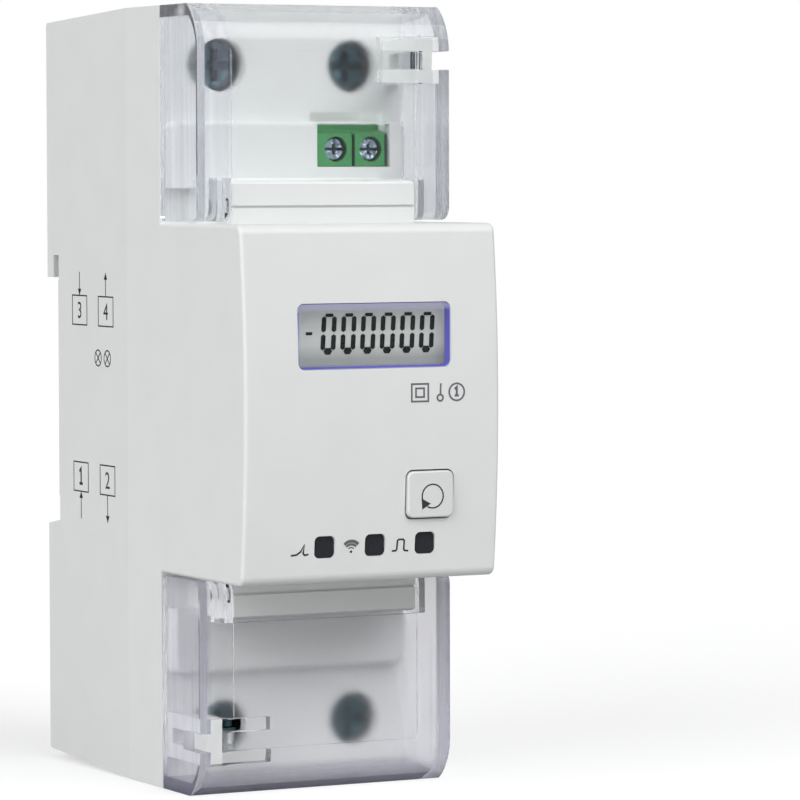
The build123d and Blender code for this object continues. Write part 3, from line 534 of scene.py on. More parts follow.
@dataclass(frozen=True)
class WindowFinish(ClearFinish):
    """Clear display window whose side faces and soft front rim glow with painted blue-violet light, in place
    of the guide's light behind it, and whose top carries a painted shadow band.
    """

    glow_colour: Colour = shade(92, 90, 172)
    glow: float = 0.3
    left: float = -10.45
    low: float = 4.45
    high: float = 12.55
    reach: float = 0.45
    strip_start: float = 1.0
    strip_full: float = 0.5
    strip_share: float = 0.5
    strip_shadow_colour: Colour = shade(164, 164, 186)

    def rim(self, nodes: NodeTree) -> Socket:
        """Share of the painted glow near the front's left and lower edges, and of the painted shadow band in
        its upper strip.

        Args:
            nodes: The material's nodes.

        Returns:
            The share.
        """
        where = nodes.where()
        edges = [nodes.ramp(where[axis], edge + self.reach, edge)
                 for axis, edge in (("X", self.left), ("Z", self.low))]
        soft = nodes.math("POWER", nodes.math("MAXIMUM", *edges), 2.0)
        near = nodes.ramp(where["Z"], self.high - self.strip_start, self.high - self.strip_full)
        return nodes.math("MAXIMUM", soft, nodes.math("MULTIPLY", near, self.strip_share))

    def surface(self, nodes: NodeTree) -> Socket:
        """Clear front and back, with side faces and a soft front rim that glow with painted light, and a
        painted shadow band at the top.

        Args:
            nodes: The material's nodes.

        Returns:
            The shader.
        """
        normal = nodes.add("ShaderNodeNewGeometry").outputs["True Normal"]
        facing = nodes.add("ShaderNodeSeparateXYZ", {"Vector": normal}).outputs["Y"]
        side = nodes.math("LESS_THAN", nodes.math("ABSOLUTE", facing), SIDEWAYS)
        # Painted shadow band along the top of the front, which glows faintly as well.
        strip = nodes.math("GREATER_THAN", nodes.where()["Z"], (self.high - self.strip_start) * MM)
        shadow_band = nodes.math("MULTIPLY", strip, nodes.math("SUBTRACT", 1.0, side))
        colour = nodes.mix(shadow_band, self.glow_colour, self.strip_shadow_colour)
        lit = {"Base Color": colour, "Emission Color": colour, "Emission Strength": self.glow}
        glow = nodes.add("ShaderNodeBsdfPrincipled", {**lit, "Specular IOR Level": 0.1}).outputs[0]
        return nodes.blend(nodes.math("MAXIMUM", side, self.rim(nodes)), super().surface(nodes), glow)


@dataclass(frozen=True)
class BackdropFinish:
    """Plain pale floor that keeps shadows and shows nearly white to the camera."""

    name: str = "pale_floor"
    colour: Colour = (0.5, 0.5, 0.5)
    lift: float = 0.56

    def build(self) -> bpy.types.Material:
        """Make the material.

        Returns:
            Matt floor with some light of its own, which only the camera sees, straight or through glass.
        """
        nodes = NodeTree(bpy.data.materials.new(self.name))
        lift = nodes.math("MULTIPLY", nodes.seen_straight(), self.lift)
        both = nodes.add("ShaderNodeAddShader")
        layers = (("ShaderNodeBsdfDiffuse", "Color", self.colour), ("ShaderNodeEmission", "Strength", lift))
        for socket, (kind, name, value) in zip(both.inputs, layers):
            nodes.link(nodes.add(kind, {name: value}).outputs[0], socket)
        return nodes.output(both.outputs[0])


AnyFinish = Finish | ClearFinish | BackdropFinish
brushed_metal = partial(Finish, metallic=1.0, grain=Grain.BRUSHED)
ink = partial(Finish, roughness=0.7, specular=0.1, relief=0.0, tone=0.08)

# The housing's glow is painted light inside the wire pocket only, lightening the shade there.
HOUSING = PocketGlowFinish("housing_white", shade(226, 228, 227), roughness=0.42, glow=0.4, grain_size=0.25,
                         relief=0.003, tone=0.012)
HOUSING_BACK = Finish("housing_back_white", shade(223, 225, 224), roughness=0.5, grain_size=0.25, tone=0.012)
UPPER_COVER = CoverFinish("clear_cover", (0.89, 0.897, 0.903), roughness=0.06, haze=0.015, streak=0.17,
                          haze_colour=shade(184, 186, 202), let_through=0.97)
# Shaded copy of the upper cover's moulding: its own tint, frost, hazier sides and dark outer end are painted
# light and shade for the lower cover.
LOWER_COVER_SHADED = CoverFinish("clear_cover_shaded", (0.985, 0.985, 0.995), roughness=0.06, haze=0.01,
                          haze_colour=shade(178, 178, 192), let_through=1.0, panel_half=16.3, frost=0.21,
                          frost_start=26.0, frost_full=30.0, side_haze=0.18, end_haze=0.6,
                          end_colour=shade(100, 100, 118))
WINDOW = WindowFinish("display_window_lit_edge", (0.97, 0.975, 0.975), roughness=0.01, sheen=0.35)
# The display glass's glow is painted light of its own, which evens out the shade of its recess; its dim
# paints shade towards the lower edge.
DISPLAY = ScreenFinish("liquid_crystal", shade(160, 163, 159), roughness=0.25, specular=0.05, glow=0.6,
                       relief=0.0, tone=0.02)
DIGIT = Finish("liquid_crystal_dark", shade(8, 9, 12), roughness=0.6, specular=0.05, relief=0.0, tone=0.1)
LIGHT = Finish("lit_guide", shade(108, 104, 214), roughness=0.5, glow=0.6, relief=0.0)
PRINT = ink("dark_print", shade(58, 60, 64))
PALE_PRINT = ink("grey_print", shade(106, 108, 112))
DARK_WINDOW = Finish("smoked_window", shade(38, 38, 44), roughness=0.3, specular=0.3, relief=0.001, tone=0.1)
BUTTON = Finish("button_white", shade(219, 221, 220), roughness=0.4, grain_size=0.3, relief=0.002, tone=0.012)
FRAME_WHITE = Finish("frame_white", shade(238, 238, 236), roughness=0.5)
BOARD = Finish("lacquered_board", shade(34, 104, 62), roughness=0.3, coat=0.4, grain=Grain.WOVEN,
               grain_size=0.6, relief=0.01, tone=0.12)
SWITCH = Finish("switch_black", shade(42, 42, 44), roughness=0.5, grain=Grain.CAST, grain_size=0.3)
GILT = brushed_metal("gilt_pin", shade(214, 182, 100), roughness=0.25, relief=0.001)
COPPER = brushed_metal("tinned_copper", shade(206, 176, 150), roughness=0.32, relief=0.003, tone=0.08)
ALLOY = brushed_metal("resistance_alloy", shade(176, 140, 112), roughness=0.4, relief=0.003, tone=0.08)
STEEL = brushed_metal("plated_steel", shade(150, 158, 164), roughness=0.32, tone=0.1)
SPRING = brushed_metal("spring_steel", shade(170, 172, 178), roughness=0.25, relief=0.002)
# Painted shade: the cross slots and all behind 34.2 mm depth are dimmed to 12%.
SMALL_STEEL = RecessShadeFinish("small_screw_steel", shade(142, 160, 174), roughness=0.3, metallic=1.0,
                           grain=Grain.CAST, grain_size=0.7, relief=0.3, tone=0.15, rim_depth=34.2, dim=0.12)
DARK_STEEL = Finish("dark_plated_steel", shade(62, 86, 94), roughness=0.42, metallic=1.0, grain=Grain.CAST,
                    grain_size=1.6, relief=0.5, tone=0.15)
# Painted shade: the wells behind 34.8 mm depth and below 33.9 mm height are dimmed to 15%.
GREEN = RecessShadeFinish("block_green", shade(56, 140, 76), roughness=0.42, grain_size=0.3, tone=0.05,
                     rim_depth=34.8, top=33.9, dim=0.15)
RELAY = Finish("relay_black", shade(46, 48, 52), roughness=0.5, grain=Grain.CAST, grain_size=0.4)
TAPE = Finish("yellow_tape", shade(222, 190, 62), roughness=0.35, grain=Grain.TAPED, grain_size=0.8,
              relief=0.01)
SLEEVE = Finish("sleeve_dark", shade(38, 42, 60), roughness=0.3, coat=0.3, grain_size=1.0)
DISC = Finish("dipped_blue", shade(48, 92, 168), roughness=0.28, coat=0.4, grain_size=1.2, relief=0.01)
CHIP = Finish("chip_black", shade(38, 38, 40), roughness=0.6, grain=Grain.CAST, grain_size=0.12)
BLACK = Finish("clip_black", shade(40, 41, 43), roughness=0.45, grain_size=0.3, relief=0.006, tone=0.06)

DRESS: dict[str, AnyFinish] = {
    name: finish
    for finish, names in (
        (HOUSING_BACK, "rear_housing"),
        (HOUSING, "front_housing"),
        (UPPER_COVER, "upper_terminal_cover"),
        (LOWER_COVER_SHADED, "lower_terminal_cover"),
        (WINDOW, "display_window"),
        (DISPLAY, "display_glass"),
        (GILT, "display_pins link_pins output_contacts relay_pins"),
        (LIGHT, "light_guide"),
        (FRAME_WHITE, "display_frame indicator_diodes"),
        (BOARD, "display_board main_board radio_board"),
        (DARK_WINDOW, "indicator_lenses"),
        (BUTTON, "front_button switch_plunger"),
        (SWITCH, "switch_body"),
        (BLACK, "link_strip rail_clip"),
        (GREEN, "output_block"),
        (COPPER, "neutral_link line_in_bar relay_in_bar line_out_bar relay_blades"),
        (ALLOY, "shunt_plate"),
        (RELAY, "relay_case"),
        (TAPE, "transformer"),
        (SLEEVE, "capacitors"),
        (DISC, "varistor"),
        (CHIP, "rectifier meter_chip optocoupler"),
        (STEEL, "radio_shield"),
        (SPRING, "clip_spring"),
    )
    for name in names.split()
}


class Materials:
    """Makes each finish once and hands it out."""

    def __init__(self) -> None:
        """Start with no material made."""
        self.made: dict[str, bpy.types.Material] = {}

    def get(self, finish: AnyFinish) -> bpy.types.Material:
        """The material of a finish.

        Args:
            finish: The finish asked for.

        Returns:
            Its material, made when first asked for.
        """
        if finish.name not in self.made:
            self.made[finish.name] = finish.build()
        return self.made[finish.name]

    def dress(self, piece: bpy.types.Object, finish: AnyFinish) -> None:
        """Give a piece one finish all over."""
        piece.data.materials.clear()
        piece.data.materials.append(self.get(finish))

    def mount(self, name: str, mesh: bpy.types.Mesh, finish: AnyFinish) -> bpy.types.Object:
        """Put a finished mesh in the scene and report it.

        Args:
            name: Name of the piece.
            mesh: Its mesh, in its place.
            finish: Its finish.

        Returns:
            The piece.
        """
        piece = make_object(name, mesh)
        self.dress(piece, finish)
        LOG.info("%s: %d faces", name, len(mesh.polygons))
        return piece


def stroke(points: Sequence[Point], width: float, closed: bool = False) -> Faces:
    """Ribbon of even width along a run of points.

    Args:
        points: Points of the line.
        width: Width of the ribbon.
        closed: True joins the last point to the first.

    Returns:
        Four-sided pieces, one for each run, mitred where runs meet.
    """
    count = len(points)
    runs = count if closed else count - 1
    normals = []
    for index in range(runs):
        (ax, ay), (bx, by) = points[index], points[(index + 1) % count]
        length = hypot(bx - ax, by - ay)
        normals.append((-(by - ay) / length, (bx - ax) / length))
    offsets = []
    for index in range(count):
        after = normals[index % runs] if closed or index < runs else normals[-1]
        before = normals[index - 1] if closed or index > 0 else normals[0]
        x, y = before[0] + after[0], before[1] + after[1]
        scale = width / max(x * x + y * y, MITRE_LIMIT)
        offsets.append((x * scale, y * scale))
    pieces = []
    for index in range(runs):
        a, b = points[index], points[(index + 1) % count]
        p, q = offsets[index], offsets[(index + 1) % count]
        pieces.append([(a[0] + p[0], a[1] + p[1]), (a[0] - p[0], a[1] - p[1]),
                       (b[0] - q[0], b[1] - q[1]), (b[0] + q[0], b[1] + q[1])])
    return pieces


def arc(centre: Point, radius: float, start: float, end: float, steps: int) -> list[Point]:
    """Points along an arc, with angles in degrees measured from the right."""
    angles = [radians(start + (end - start) * step / steps) for step in range(steps + 1)]
    return [(centre[0] + radius * cos(angle), centre[1] + radius * sin(angle)) for angle in angles]


def ring(centre: Point, radius: float, width: float) -> Faces:
    """Closed ring of even width."""
    return stroke(arc(centre, radius, 0, 360, RING_STEPS)[:-1], width, closed=True)


def corners(centre: Point, wide: float, tall: float) -> list[Point]:
    """Corners of a rectangle."""
    (x, z), a, b = centre, wide / 2, tall / 2
    return [(x - a, z - b), (x + a, z - b), (x + a, z + b), (x - a, z + b)]


def square(centre: Point, size: Point, width: float) -> Faces:
    """Outline of a rectangle, drawn in lines."""
    return stroke(corners(centre, *size), width, closed=True)


def make_object(name: str, data: bpy.types.ID) -> bpy.types.Object:
    """Put a mesh, a curve, a lamp or a camera in the scene as an object at the origin.

    Args:
        name: Name of the object.
        data: What it shows.

    Returns:
        The object.
    """
    made = bpy.data.objects.new(name, data)
    bpy.context.scene.collection.objects.link(made)
    return made


def plain_mesh(holder: bpy.types.Object) -> bpy.types.Mesh:
    """Turn an object with its modifiers into a plain mesh, and remove the object.

    Args:
        holder: The object.

    Returns:
        The mesh.
    """
    bpy.context.view_layer.update()
    mesh = bpy.data.meshes.new_from_object(holder.evaluated_get(bpy.context.evaluated_depsgraph_get()))
    holder.modifiers.clear()
    bpy.data.objects.remove(holder)
    return mesh


def figure_one(centre: Point, tall: float, line: float) -> Faces:
    """Number 1 with its flag and foot, drawn in lines.

    Args:
        centre: Middle of the number.
        tall: Height of the number.
        line: Width of the lines.

    Returns:
        The faces' corners in the plane of the print.
    """
    x, z = centre
    half, reach = tall / 2, tall * ONE_REACH
    stem = stroke([(x - reach, z + half * ONE_FLAG), (x, z + half), (x, z - half + line)], line)
    return stem + stroke([(x - reach, z - half + line / 2), (x + reach, z - half + line / 2)], line)


def number_outline(text: str, centre: Point, tall: float, line: float) -> Faces:
    """Flat faces of a plain number.

    Args:
        text: The number.
        centre: Middle of the number.
        tall: Height of a digit.
        line: Width of the lines of a 1.

    Returns:
        The faces' corners in the plane of the print.
    """
    if text == "1":
        return figure_one(centre, tall, line)
    curve = bpy.data.curves.new("number", "FONT")
    curve.body = text
    curve.align_x, curve.align_y = "CENTER", "CENTER"
    curve.resolution_u = 4
    mesh = plain_mesh(make_object("number", curve))
    places = [vertex.co.copy() for vertex in mesh.vertices]
    xs, ys = [place.x for place in places], [place.y for place in places]
    scale = tall / (max(ys) - min(ys))
    middle = ((max(xs) + min(xs)) / 2, (max(ys) + min(ys)) / 2)
    moved = [(centre[0] + (place.x - middle[0]) * scale, centre[1] + (place.y - middle[1]) * scale)
             for place in places]
    faces = [[moved[index] for index in face.vertices] for face in mesh.polygons]
    bpy.data.meshes.remove(mesh)
    return faces


def thin_mesh(name: str, faces: Faces, place: Callable[[Point, float], Vector],
              lifts: Point) -> bpy.types.Mesh:
    """Mesh of thin closed solids with flat outlines.

    Args:
        name: Name of the mesh.
        faces: Corners of each outline.
        place: Gives the point in space of a corner that is lifted by a height.
        lifts: Heights of the underside and of the top.

    Returns:
        The mesh, with its faces outwards.
    """
    work = bmesh.new()
    for face in faces:
        low, high = [[work.verts.new(place(point, lift)) for point in face] for lift in lifts]
        work.faces.new(low)
        work.faces.new(high)
        for index in range(len(face)):
            after = (index + 1) % len(face)
            work.faces.new((low[index], low[after], high[after], high[index]))
    bmesh.ops.recalc_face_normals(work, faces=work.faces)
    mesh = bpy.data.meshes.new(name)
    work.to_mesh(mesh)
    work.free()
    return mesh


def upright(point: Point, lift: float, lean: float = 0.0) -> Vector:
    """Place of a point of an upright plane through the origin, in metres; a lean slants it to the right."""
    return Vector((point[0] + point[1] * lean, -lift, point[1])) * MM


class Sheet(Enum):
    """Surface that a mark is printed on."""

    FRONT = "front"
    SIDE = "side"
    BUTTON = "button"


@dataclass
class Housing:
    """White housing: sizes that the printed marks need, and the print on its front, side and button."""

    materials: Materials
    half_width: float = 18.0
    half_raised: float = 22.5
    crown: float = 58.0
    bow: float = 1.3
    button_proud: float = 0.5
    button_height: float = -11.7
    ink: float = 0.02
    line: float = 0.18
    front_line: float = 0.23
    class_centre: Point = (6.52, 1.18)
    class_sizes: tuple[Point, ...] = ((2.35, 2.2), (1.15, 1.1))
    dial_hand: tuple[Point, ...] = ((9.5, 2.3), (9.42, 0.82))
    dial_centre: Point = (9.4, 0.48)
    dial_radius: float = 0.4
    ringed_centre: Point = (11.78, 1.16)
    ringed_radius: float = 1.08
    ringed_tall: float = 1.2
    ringed_stroke: float = 0.3
    peak: tuple[Point, ...] = (
        (-11.3, -18.8), (-10.5, -18.72), (-9.95, -18.35), (-9.45, -17.45), (-9.6, -18.55), (-9.4, -18.8),
        (-8.85, -18.72))
    pulse: tuple[Point, ...] = (
        (2.9, -18.78), (3.45, -18.76), (3.6, -18.6), (3.66, -17.5), (3.85, -17.34), (4.45, -17.34),
        (4.62, -17.5), (4.6, -18.6), (4.72, -18.78), (5.25, -18.82))
    box_size: Point = (4.8, 3.9)
    box_number_tall: float = 2.2
    box_number_stroke: float = 0.36
    arrow_half: float = 0.55
    arrow_long: float = 0.9
    cross_centres: tuple[Point, ...] = ((13.2, 4.5), (16.2, 4.5))
    cross_radius: float = 1.05
    cross_reach: float = 0.95
    turn_centre: Point = (8.22, -11.95)
    turn_radius: float = 1.5
    turn_sweep: Point = (-120, 195)
    turn_steps: int = 44
    turn_head: tuple[Point, ...] = ((6.63, -12.2), (6.72, -13.6), (7.95, -12.9))

    def front_surface(self, z: float) -> float:
        """Depth of the bowed front at a height."""
        radius = (self.half_raised**2 + self.bow**2) / (2 * self.bow)
        return self.crown - radius + sqrt(radius**2 - z**2)

    def lay(self, sheet: Sheet, point: Point, lift: float) -> Vector:
        """Place of a printed point in metres.

        Args:
            sheet: Surface that carries the print.
            point: Place on it: across and up.
            lift: Height above the surface.

        Returns:
            The point in space.
        """
        across, up = point
        if sheet is Sheet.SIDE:
            return Vector((-self.half_width - lift, -across, up)) * MM
        if sheet is Sheet.BUTTON:
            depth = self.front_surface(self.button_height) + self.button_proud
        else:
            depth = self.front_surface(up)
        return Vector((across, -depth - lift, up)) * MM

    def print_mark(self, name: str, body: str, sheet: Sheet, faces: Faces, finish: Finish) -> None:
        """Print thin ink faces on a surface.

        Args:
            name: Name of the piece.
            body: Body that it moves with.
            sheet: Surface that carries it.
            faces: Corners of each face.
            finish: Ink.
        """
        mesh = thin_mesh(name, faces, partial(self.lay, sheet), (-self.ink, self.ink))
        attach(self.materials.mount(name, mesh, finish), body)

    def front_marks(self) -> Faces:
        """Double square, small dial mark and ringed number under the display.

        Returns:
            The faces.
        """
        line = self.front_line
        marks = [face for size in self.class_sizes for face in square(self.class_centre, size, line)]
        marks += stroke(self.dial_hand, line) + ring(self.dial_centre, self.dial_radius, line)
        marks += ring(self.ringed_centre, self.ringed_radius, line)
        return marks + number_outline("1", self.ringed_centre, self.ringed_tall, self.ringed_stroke)

    def boxed_number(self, number: str, centre: Point, far: float, outwards: bool) -> Faces:
        """Boxed terminal number with its arrow.

        Args:
            number: The number.
            centre: Middle of the box.
            far: Height of the arrow's far end.
            outwards: True points the arrow away from the box.

        Returns:
            The faces.
        """
        across, up = centre
        marks = square(centre, self.box_size, self.line)
        marks += number_outline(number, centre, self.box_number_tall, self.box_number_stroke)
        edge = up + self.box_size[1] / 2 * (1 if far > up else -1)
        marks += stroke([(across, edge), (across, far)], self.line)
        tip, back = (far, edge) if outwards else (edge, far)
        foot = tip + self.arrow_long * (1 if back > tip else -1)
        return marks + [[(across, tip), (across + self.arrow_half, foot), (across - self.arrow_half, foot)]]

    def ringed_cross(self, centre: Point) -> Faces:
        """Ring with a cross in it, whose two lines each join opposite points of an arc in quarter turns."""
        ends = arc(centre, self.cross_reach, 45, 315, 3)
        return ring(centre, self.cross_radius, self.line) + [
            face for start, end in ((2, 0), (3, 1)) for face in stroke([ends[start], ends[end]], self.line)]

    def side_marks(self) -> Faces:
        """Boxed terminal numbers with their arrows, and the pair of ringed crosses.

        Returns:
            The faces.
        """
        marks = self.boxed_number("3", (7.2, 10.7), 15.8, False)
        marks += self.boxed_number("4", (15.75, 10.7), 15.8, True)
        marks += self.boxed_number("1", (7.35, -11.6), -17.2, False)
        marks += self.boxed_number("2", (16.05, -11.6), -17.2, True)
        for centre in self.cross_centres:
            marks += self.ringed_cross(centre)
        return marks

    def build(self) -> None:
        """Print the front, the side and the button."""
        line = self.front_line
        pulses = stroke(self.peak, line) + stroke(self.pulse, line)
        turn = stroke(arc(self.turn_centre, self.turn_radius, *self.turn_sweep, self.turn_steps), self.line)
        turn.append(self.turn_head)
        self.print_mark("front_print", "housing", Sheet.FRONT, self.front_marks(), PALE_PRINT)
        self.print_mark("indicator_print", "housing", Sheet.FRONT, pulses, PRINT)
        self.print_mark("side_print", "housing", Sheet.SIDE, self.side_marks(), PRINT)
        self.print_mark("button_print", "button", Sheet.BUTTON, turn, PRINT)


@dataclass
class Repeat:
    """Row or fan of one shape, made by a tree of geometry nodes and turned into a plain mesh."""

    materials: Materials
    name: str
    finish: Finish
    count: int
    step: Triple
    growth: float = 0.0
    seed: int = 3
    smallest: float = 0.995
    largest: float = 1.005

    def tree(self) -> bpy.types.NodeTree:
        """Build the tree: instances of the input shape along a line, each grown by an even share.

        Returns:
            The tree, with inputs for the count, the step, the growth and the seed.
        """
        group = bpy.data.node_groups.new(f"{self.name}_row", "GeometryNodeTree")
        kinds = {"Shape": "Geometry", "Count": "Int", "Step": "Vector", "Growth": "Float", "Seed": "Int"}
        for label, kind in kinds.items():
            group.interface.new_socket(label, in_out="INPUT", socket_type=f"NodeSocket{kind}")
        group.interface.new_socket("Row", in_out="OUTPUT", socket_type="NodeSocketGeometry")
        nodes = NodeTree(group)
        given = nodes.add("NodeGroupInput").outputs
        line = nodes.add("GeometryNodeMeshLine", {"Count": given["Count"], "Offset": given["Step"]})
        index = nodes.add("GeometryNodeInputIndex").outputs[0]
        grown = nodes.math("MULTIPLY_ADD", index, given["Growth"], 1.0)
        chance = nodes.add("FunctionNodeRandomValue", {"Seed": given["Seed"]}, data_type="FLOAT")
        chance.inputs[2].default_value, chance.inputs[3].default_value = self.smallest, self.largest
        placed = nodes.add("GeometryNodeInstanceOnPoints", {
            "Points": line.outputs["Mesh"],
            "Instance": given["Shape"],
            "Scale": nodes.math("MULTIPLY", grown, chance.outputs[1]),
        })
        real = nodes.add("GeometryNodeRealizeInstances", {"Geometry": placed.outputs["Instances"]})
        look = {"Geometry": real.outputs[0], "Material": self.materials.get(self.finish)}
        dressed = nodes.add("GeometryNodeSetMaterial", look)
        nodes.link(dressed.outputs[0], nodes.add("NodeGroupOutput").inputs[0])
        return group

    def apply(self, shape: bpy.types.Mesh, origin: Vector) -> bpy.types.Object:
        """Repeat a shape and move the row to its place.

        Args:
            shape: Mesh about its own origin.
            origin: Place of the first one.

        Returns:
            The finished object, at the origin with its place in its mesh.
        """
        holder = make_object(f"{self.name}_seed", shape)
        modifier = holder.modifiers.new("row", "NODES")
        modifier.node_group = self.tree()
        values = {"Count": self.count, "Step": [length * MM for length in self.step], "Growth": self.growth,
                  "Seed": self.seed}
        for item in modifier.node_group.interface.items_tree:
            if item.in_out == "INPUT" and item.name in values:
                modifier[item.identifier] = values[item.name]
        made = plain_mesh(holder)
        for vertex in made.vertices:
            vertex.co += origin
        made.name = self.name
        return self.materials.mount(self.name, made, self.finish)


@dataclass
class Display:
    """Dark figures on the display."""

    materials: Materials
    glass_front: float = 54.3
    clearance: float = 0.02
    ink: float = 0.03
    digit_wide: float = 1.45
    digit_tall: float = 4.5
    digit_count: int = 6
    digit_pitch: float = 2.785
    first_digit: Point = (-5.1, 8.82)
    bars: tuple[float, ...] = (0.85, 0.64, 0.64, 0.44, 0.64, 0.64)
    gap: float = 0.12
    point: float = 0.32
    slant: float = 0.055
    minus_centre: Point = (-7.85, 8.82)
    minus_size: Point = (0.9, 0.4)

    def segment(self, start: Point, end: Point, bar: float) -> list[Point]:
        """Corners of one bar with pointed ends, between two corners of the figure.

        Args:
            start: One corner of the figure.
            end: The next corner.
            bar: Width of the bar.

        Returns:
            The six corners.
        """
        length = hypot(end[0] - start[0], end[1] - start[1])
        along = ((end[0] - start[0]) / length, (end[1] - start[1]) / length)
        side = (-along[1] * bar / 2, along[0] * bar / 2)
        near, far = self.gap, length - self.gap
        inset = bar * self.point
        plan = [(near, 0), (near + inset, 1), (far - inset, 1),
                (far, 0), (far - inset, -1), (near + inset, -1)]
        return [(start[0] + along[0] * a + side[0] * b, start[1] + along[1] * a + side[1] * b)
                for a, b in plan]

    def zero(self) -> Faces:
        """Six bars of a nought, without the middle one.

        Returns:
            The faces.
        """
        x, z = self.digit_wide / 2, self.digit_tall / 2
        turns = [(-x, -z), (x, -z), (x, 0), (x, z), (-x, z), (-x, 0)]
        ends = turns[1:] + turns[:1]
        return [self.segment(start, end, bar) for start, end, bar in zip(turns, ends, self.bars)]

    def solid(self, name: str, faces: Faces) -> bpy.types.Mesh:
        """Thin slanted solids that stand on the plane of the glass."""
        return thin_mesh(name, faces, partial(upright, lean=self.slant), (0.0, self.ink))

    def build(self) -> None:
        """Make the figures and the minus."""
        depth = self.glass_front + self.clearance
        row = Repeat(self.materials, "display_digits", DIGIT, self.digit_count, (self.digit_pitch, 0, 0))
        digits = row.apply(self.solid("digit", self.zero()), upright(self.first_digit, depth))
        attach(digits, "housing")
        mesh = self.solid("display_minus", [corners((0, 0), *self.minus_size)])
        mesh.transform(Matrix.Translation(upright(self.minus_centre, depth)))
        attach(self.materials.mount("display_minus", mesh, DIGIT), "housing")


@dataclass
class RadioMark:
    """Fan of arcs with a dot, beside the middle indicator window."""

    materials: Materials
    housing: Housing
    apex: Point = (-2.88, -18.6)
    first_radius: float = 0.5
    arc_width: float = 0.15
    half_angle: float = 47.0
    arc_steps: int = 14
    arc_count: int = 3
    growth: float = 0.82
    dot_centre: Point = (0, -0.02)
    dot_radius: float = 0.17
    dot_corners: int = 12

    def build(self) -> None:
        """Make the arcs by growing one arc about the apex, and the dot."""
        lifts = (-self.housing.ink, self.housing.ink)
        depth = self.housing.front_surface(self.apex[1])
        place = upright(self.apex, depth)
        first = arc((0, 0), self.first_radius, 90 - self.half_angle, 90 + self.half_angle, self.arc_steps)
        row = Repeat(self.materials, "radio_arcs", PALE_PRINT, self.arc_count, (0, 0, 0), growth=self.growth)
        arcs = row.apply(thin_mesh("radio_arc", stroke(first, self.arc_width), upright, lifts), place)
        for vertex in arcs.data.vertices:
            vertex.co.y -= (self.housing.front_surface(vertex.co.z / MM) - depth) * MM
        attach(arcs, "housing")
        outline = arc(self.dot_centre, self.dot_radius, 0, 360, self.dot_corners)[:-1]
        mesh = thin_mesh("radio_dot", [outline], upright, lifts)
        mesh.transform(Matrix.Translation(place))
        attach(self.materials.mount("radio_dot", mesh, PRINT), "housing")


@dataclass
class Terminals:
    """Screws and clamps of the terminals."""

    materials: Materials
    main_count: int = 4
    small_count: int = 2

    def build(self) -> None:
        """Dress the screws and clamps."""
        groups = ((self.main_count, "terminal_screw", "terminal_cage", DARK_STEEL),
                  (self.small_count, "output_screw", "output_clamp", SMALL_STEEL))
        for count, screw, clamp, finish in groups:
            for number in range(1, count + 1):
                self.materials.dress(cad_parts[f"{screw}_{number}"], finish)
                self.materials.dress(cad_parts[f"{clamp}_{number}"], STEEL)
        LOG.info("terminals: %d screws dressed", self.main_count + self.small_count)


@dataclass(frozen=True)
class Lamp:
    """Soft lamp so far away that it lights everything evenly.

    Its share is how much of a surface's own colour it gives when it shines straight on it, and its
    spread is the angle in degrees that it spans in the sky.
    """

    name: str
    towards: Triple
    share: float
    spread: float

    def build(self) -> None:
        """Hang the lamp."""
        light = bpy.data.lights.new(self.name, "SUN")
        light.energy = pi * self.share
        light.angle = radians(self.spread)
        turn = (-Vector(self.towards)).to_track_quat("-Z", "Y")
        make_object(self.name, light).matrix_world = turn.to_matrix().to_4x4()


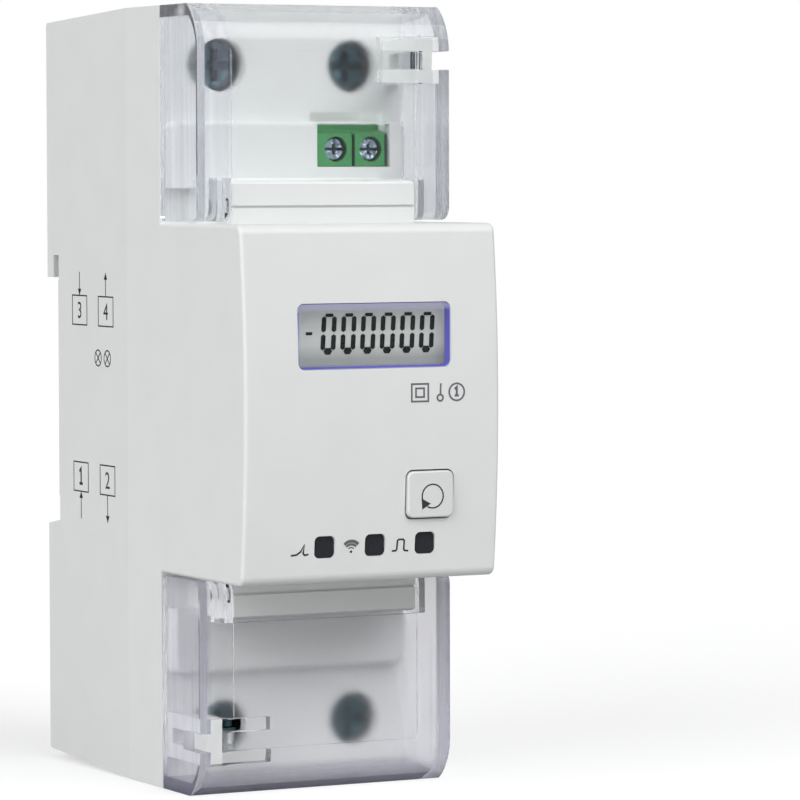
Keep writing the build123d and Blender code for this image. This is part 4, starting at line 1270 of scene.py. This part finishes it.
@dataclass
class Studio:
    """Pale floor, soft lamps, white surroundings and the camera."""

    materials: Materials
    floor_level: float = -50.45
    floor_size: float = 6000.0
    lamps: tuple[Lamp, ...] = (Lamp("key", (0.25, -0.68, 0.69), 0.47, 40),
                               Lamp("fill", (-0.85, -0.35, 0.38), 0.62, 50))
    sky_colour: Colour = (0.97, 0.98, 1.0)
    sky_strength: float = 0.35
    camera_place: Triple = (-257.91, -557.64, 29.05)
    yaw: float = 27.633
    pitch: float = 2.915
    roll: float = 0.141
    focal_pixels: float = 4485.1
    frame_pixels: float = 800.0
    sensor: float = 36.0

    def floor(self) -> None:
        """Lay the floor."""
        outline = corners((0, 0), self.floor_size, self.floor_size)
        mesh = bpy.data.meshes.new("studio_floor")
        mesh.from_pydata([Vector((x, y, self.floor_level)) * MM for x, y in outline], [], [(0, 1, 2, 3)])
        self.materials.mount("studio_floor", mesh, BackdropFinish())

    def world(self) -> None:
        """Surround the object with plain light that shows white to the camera."""
        world = bpy.data.worlds.new("studio")
        bpy.context.scene.world = world
        nodes = NodeTree(world)
        looks = [
            nodes.add("ShaderNodeBackground", {"Color": colour, "Strength": strength}).outputs[0]
            for colour, strength in ((self.sky_colour, self.sky_strength), ((1, 1, 1), 1.0))
        ]
        nodes.output(nodes.blend(nodes.seen_straight(), *looks), "World")

    def camera(self) -> None:
        """Set the camera where the photograph was taken from."""
        yaw, pitch, roll = radians(self.yaw), radians(self.pitch), radians(self.roll)
        ahead = Vector((sin(yaw) * cos(pitch), cos(yaw) * cos(pitch), -sin(pitch)))
        right = Vector((cos(yaw), -sin(yaw), 0))
        down = ahead.cross(right)
        right_turned = cos(roll) * right + sin(roll) * down
        down_turned = -sin(roll) * right + cos(roll) * down
        data = bpy.data.cameras.new("photo_camera")
        data.sensor_width = self.sensor
        data.lens = self.focal_pixels * self.sensor / self.frame_pixels
        data.clip_start, data.clip_end = 0.01, 100
        camera = make_object("photo_camera", data)
        axes = Matrix((right_turned, -down_turned, -ahead)).transposed().to_4x4()
        camera.matrix_world = Matrix.Translation(Vector(self.camera_place) * MM) @ axes
        bpy.context.scene.camera = camera

    def build(self) -> None:
        """Set up the whole studio."""
        self.floor()
        self.world()
        for lamp in self.lamps:
            lamp.build()
        self.camera()
        bpy.context.scene.view_settings.view_transform = "Standard"
        LOG.info("studio: floor, %d lamps, camera", len(self.lamps))


def dress_solids(materials: Materials) -> None:
    """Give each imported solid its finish."""
    for name, finish in DRESS.items():
        materials.dress(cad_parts[name], finish)
    LOG.info("solids dressed: %d", len(DRESS))


def main() -> None:
    """Build the looks in order."""
    logging.basicConfig(level=logging.INFO, format="%(name)s %(message)s")
    materials = Materials()
    dress_solids(materials)
    Terminals(materials).build()
    housing = Housing(materials)
    housing.build()
    RadioMark(materials, housing).build()
    Display(materials).build()
    Studio(materials).build()


if __name__ == "__main__":
    main()
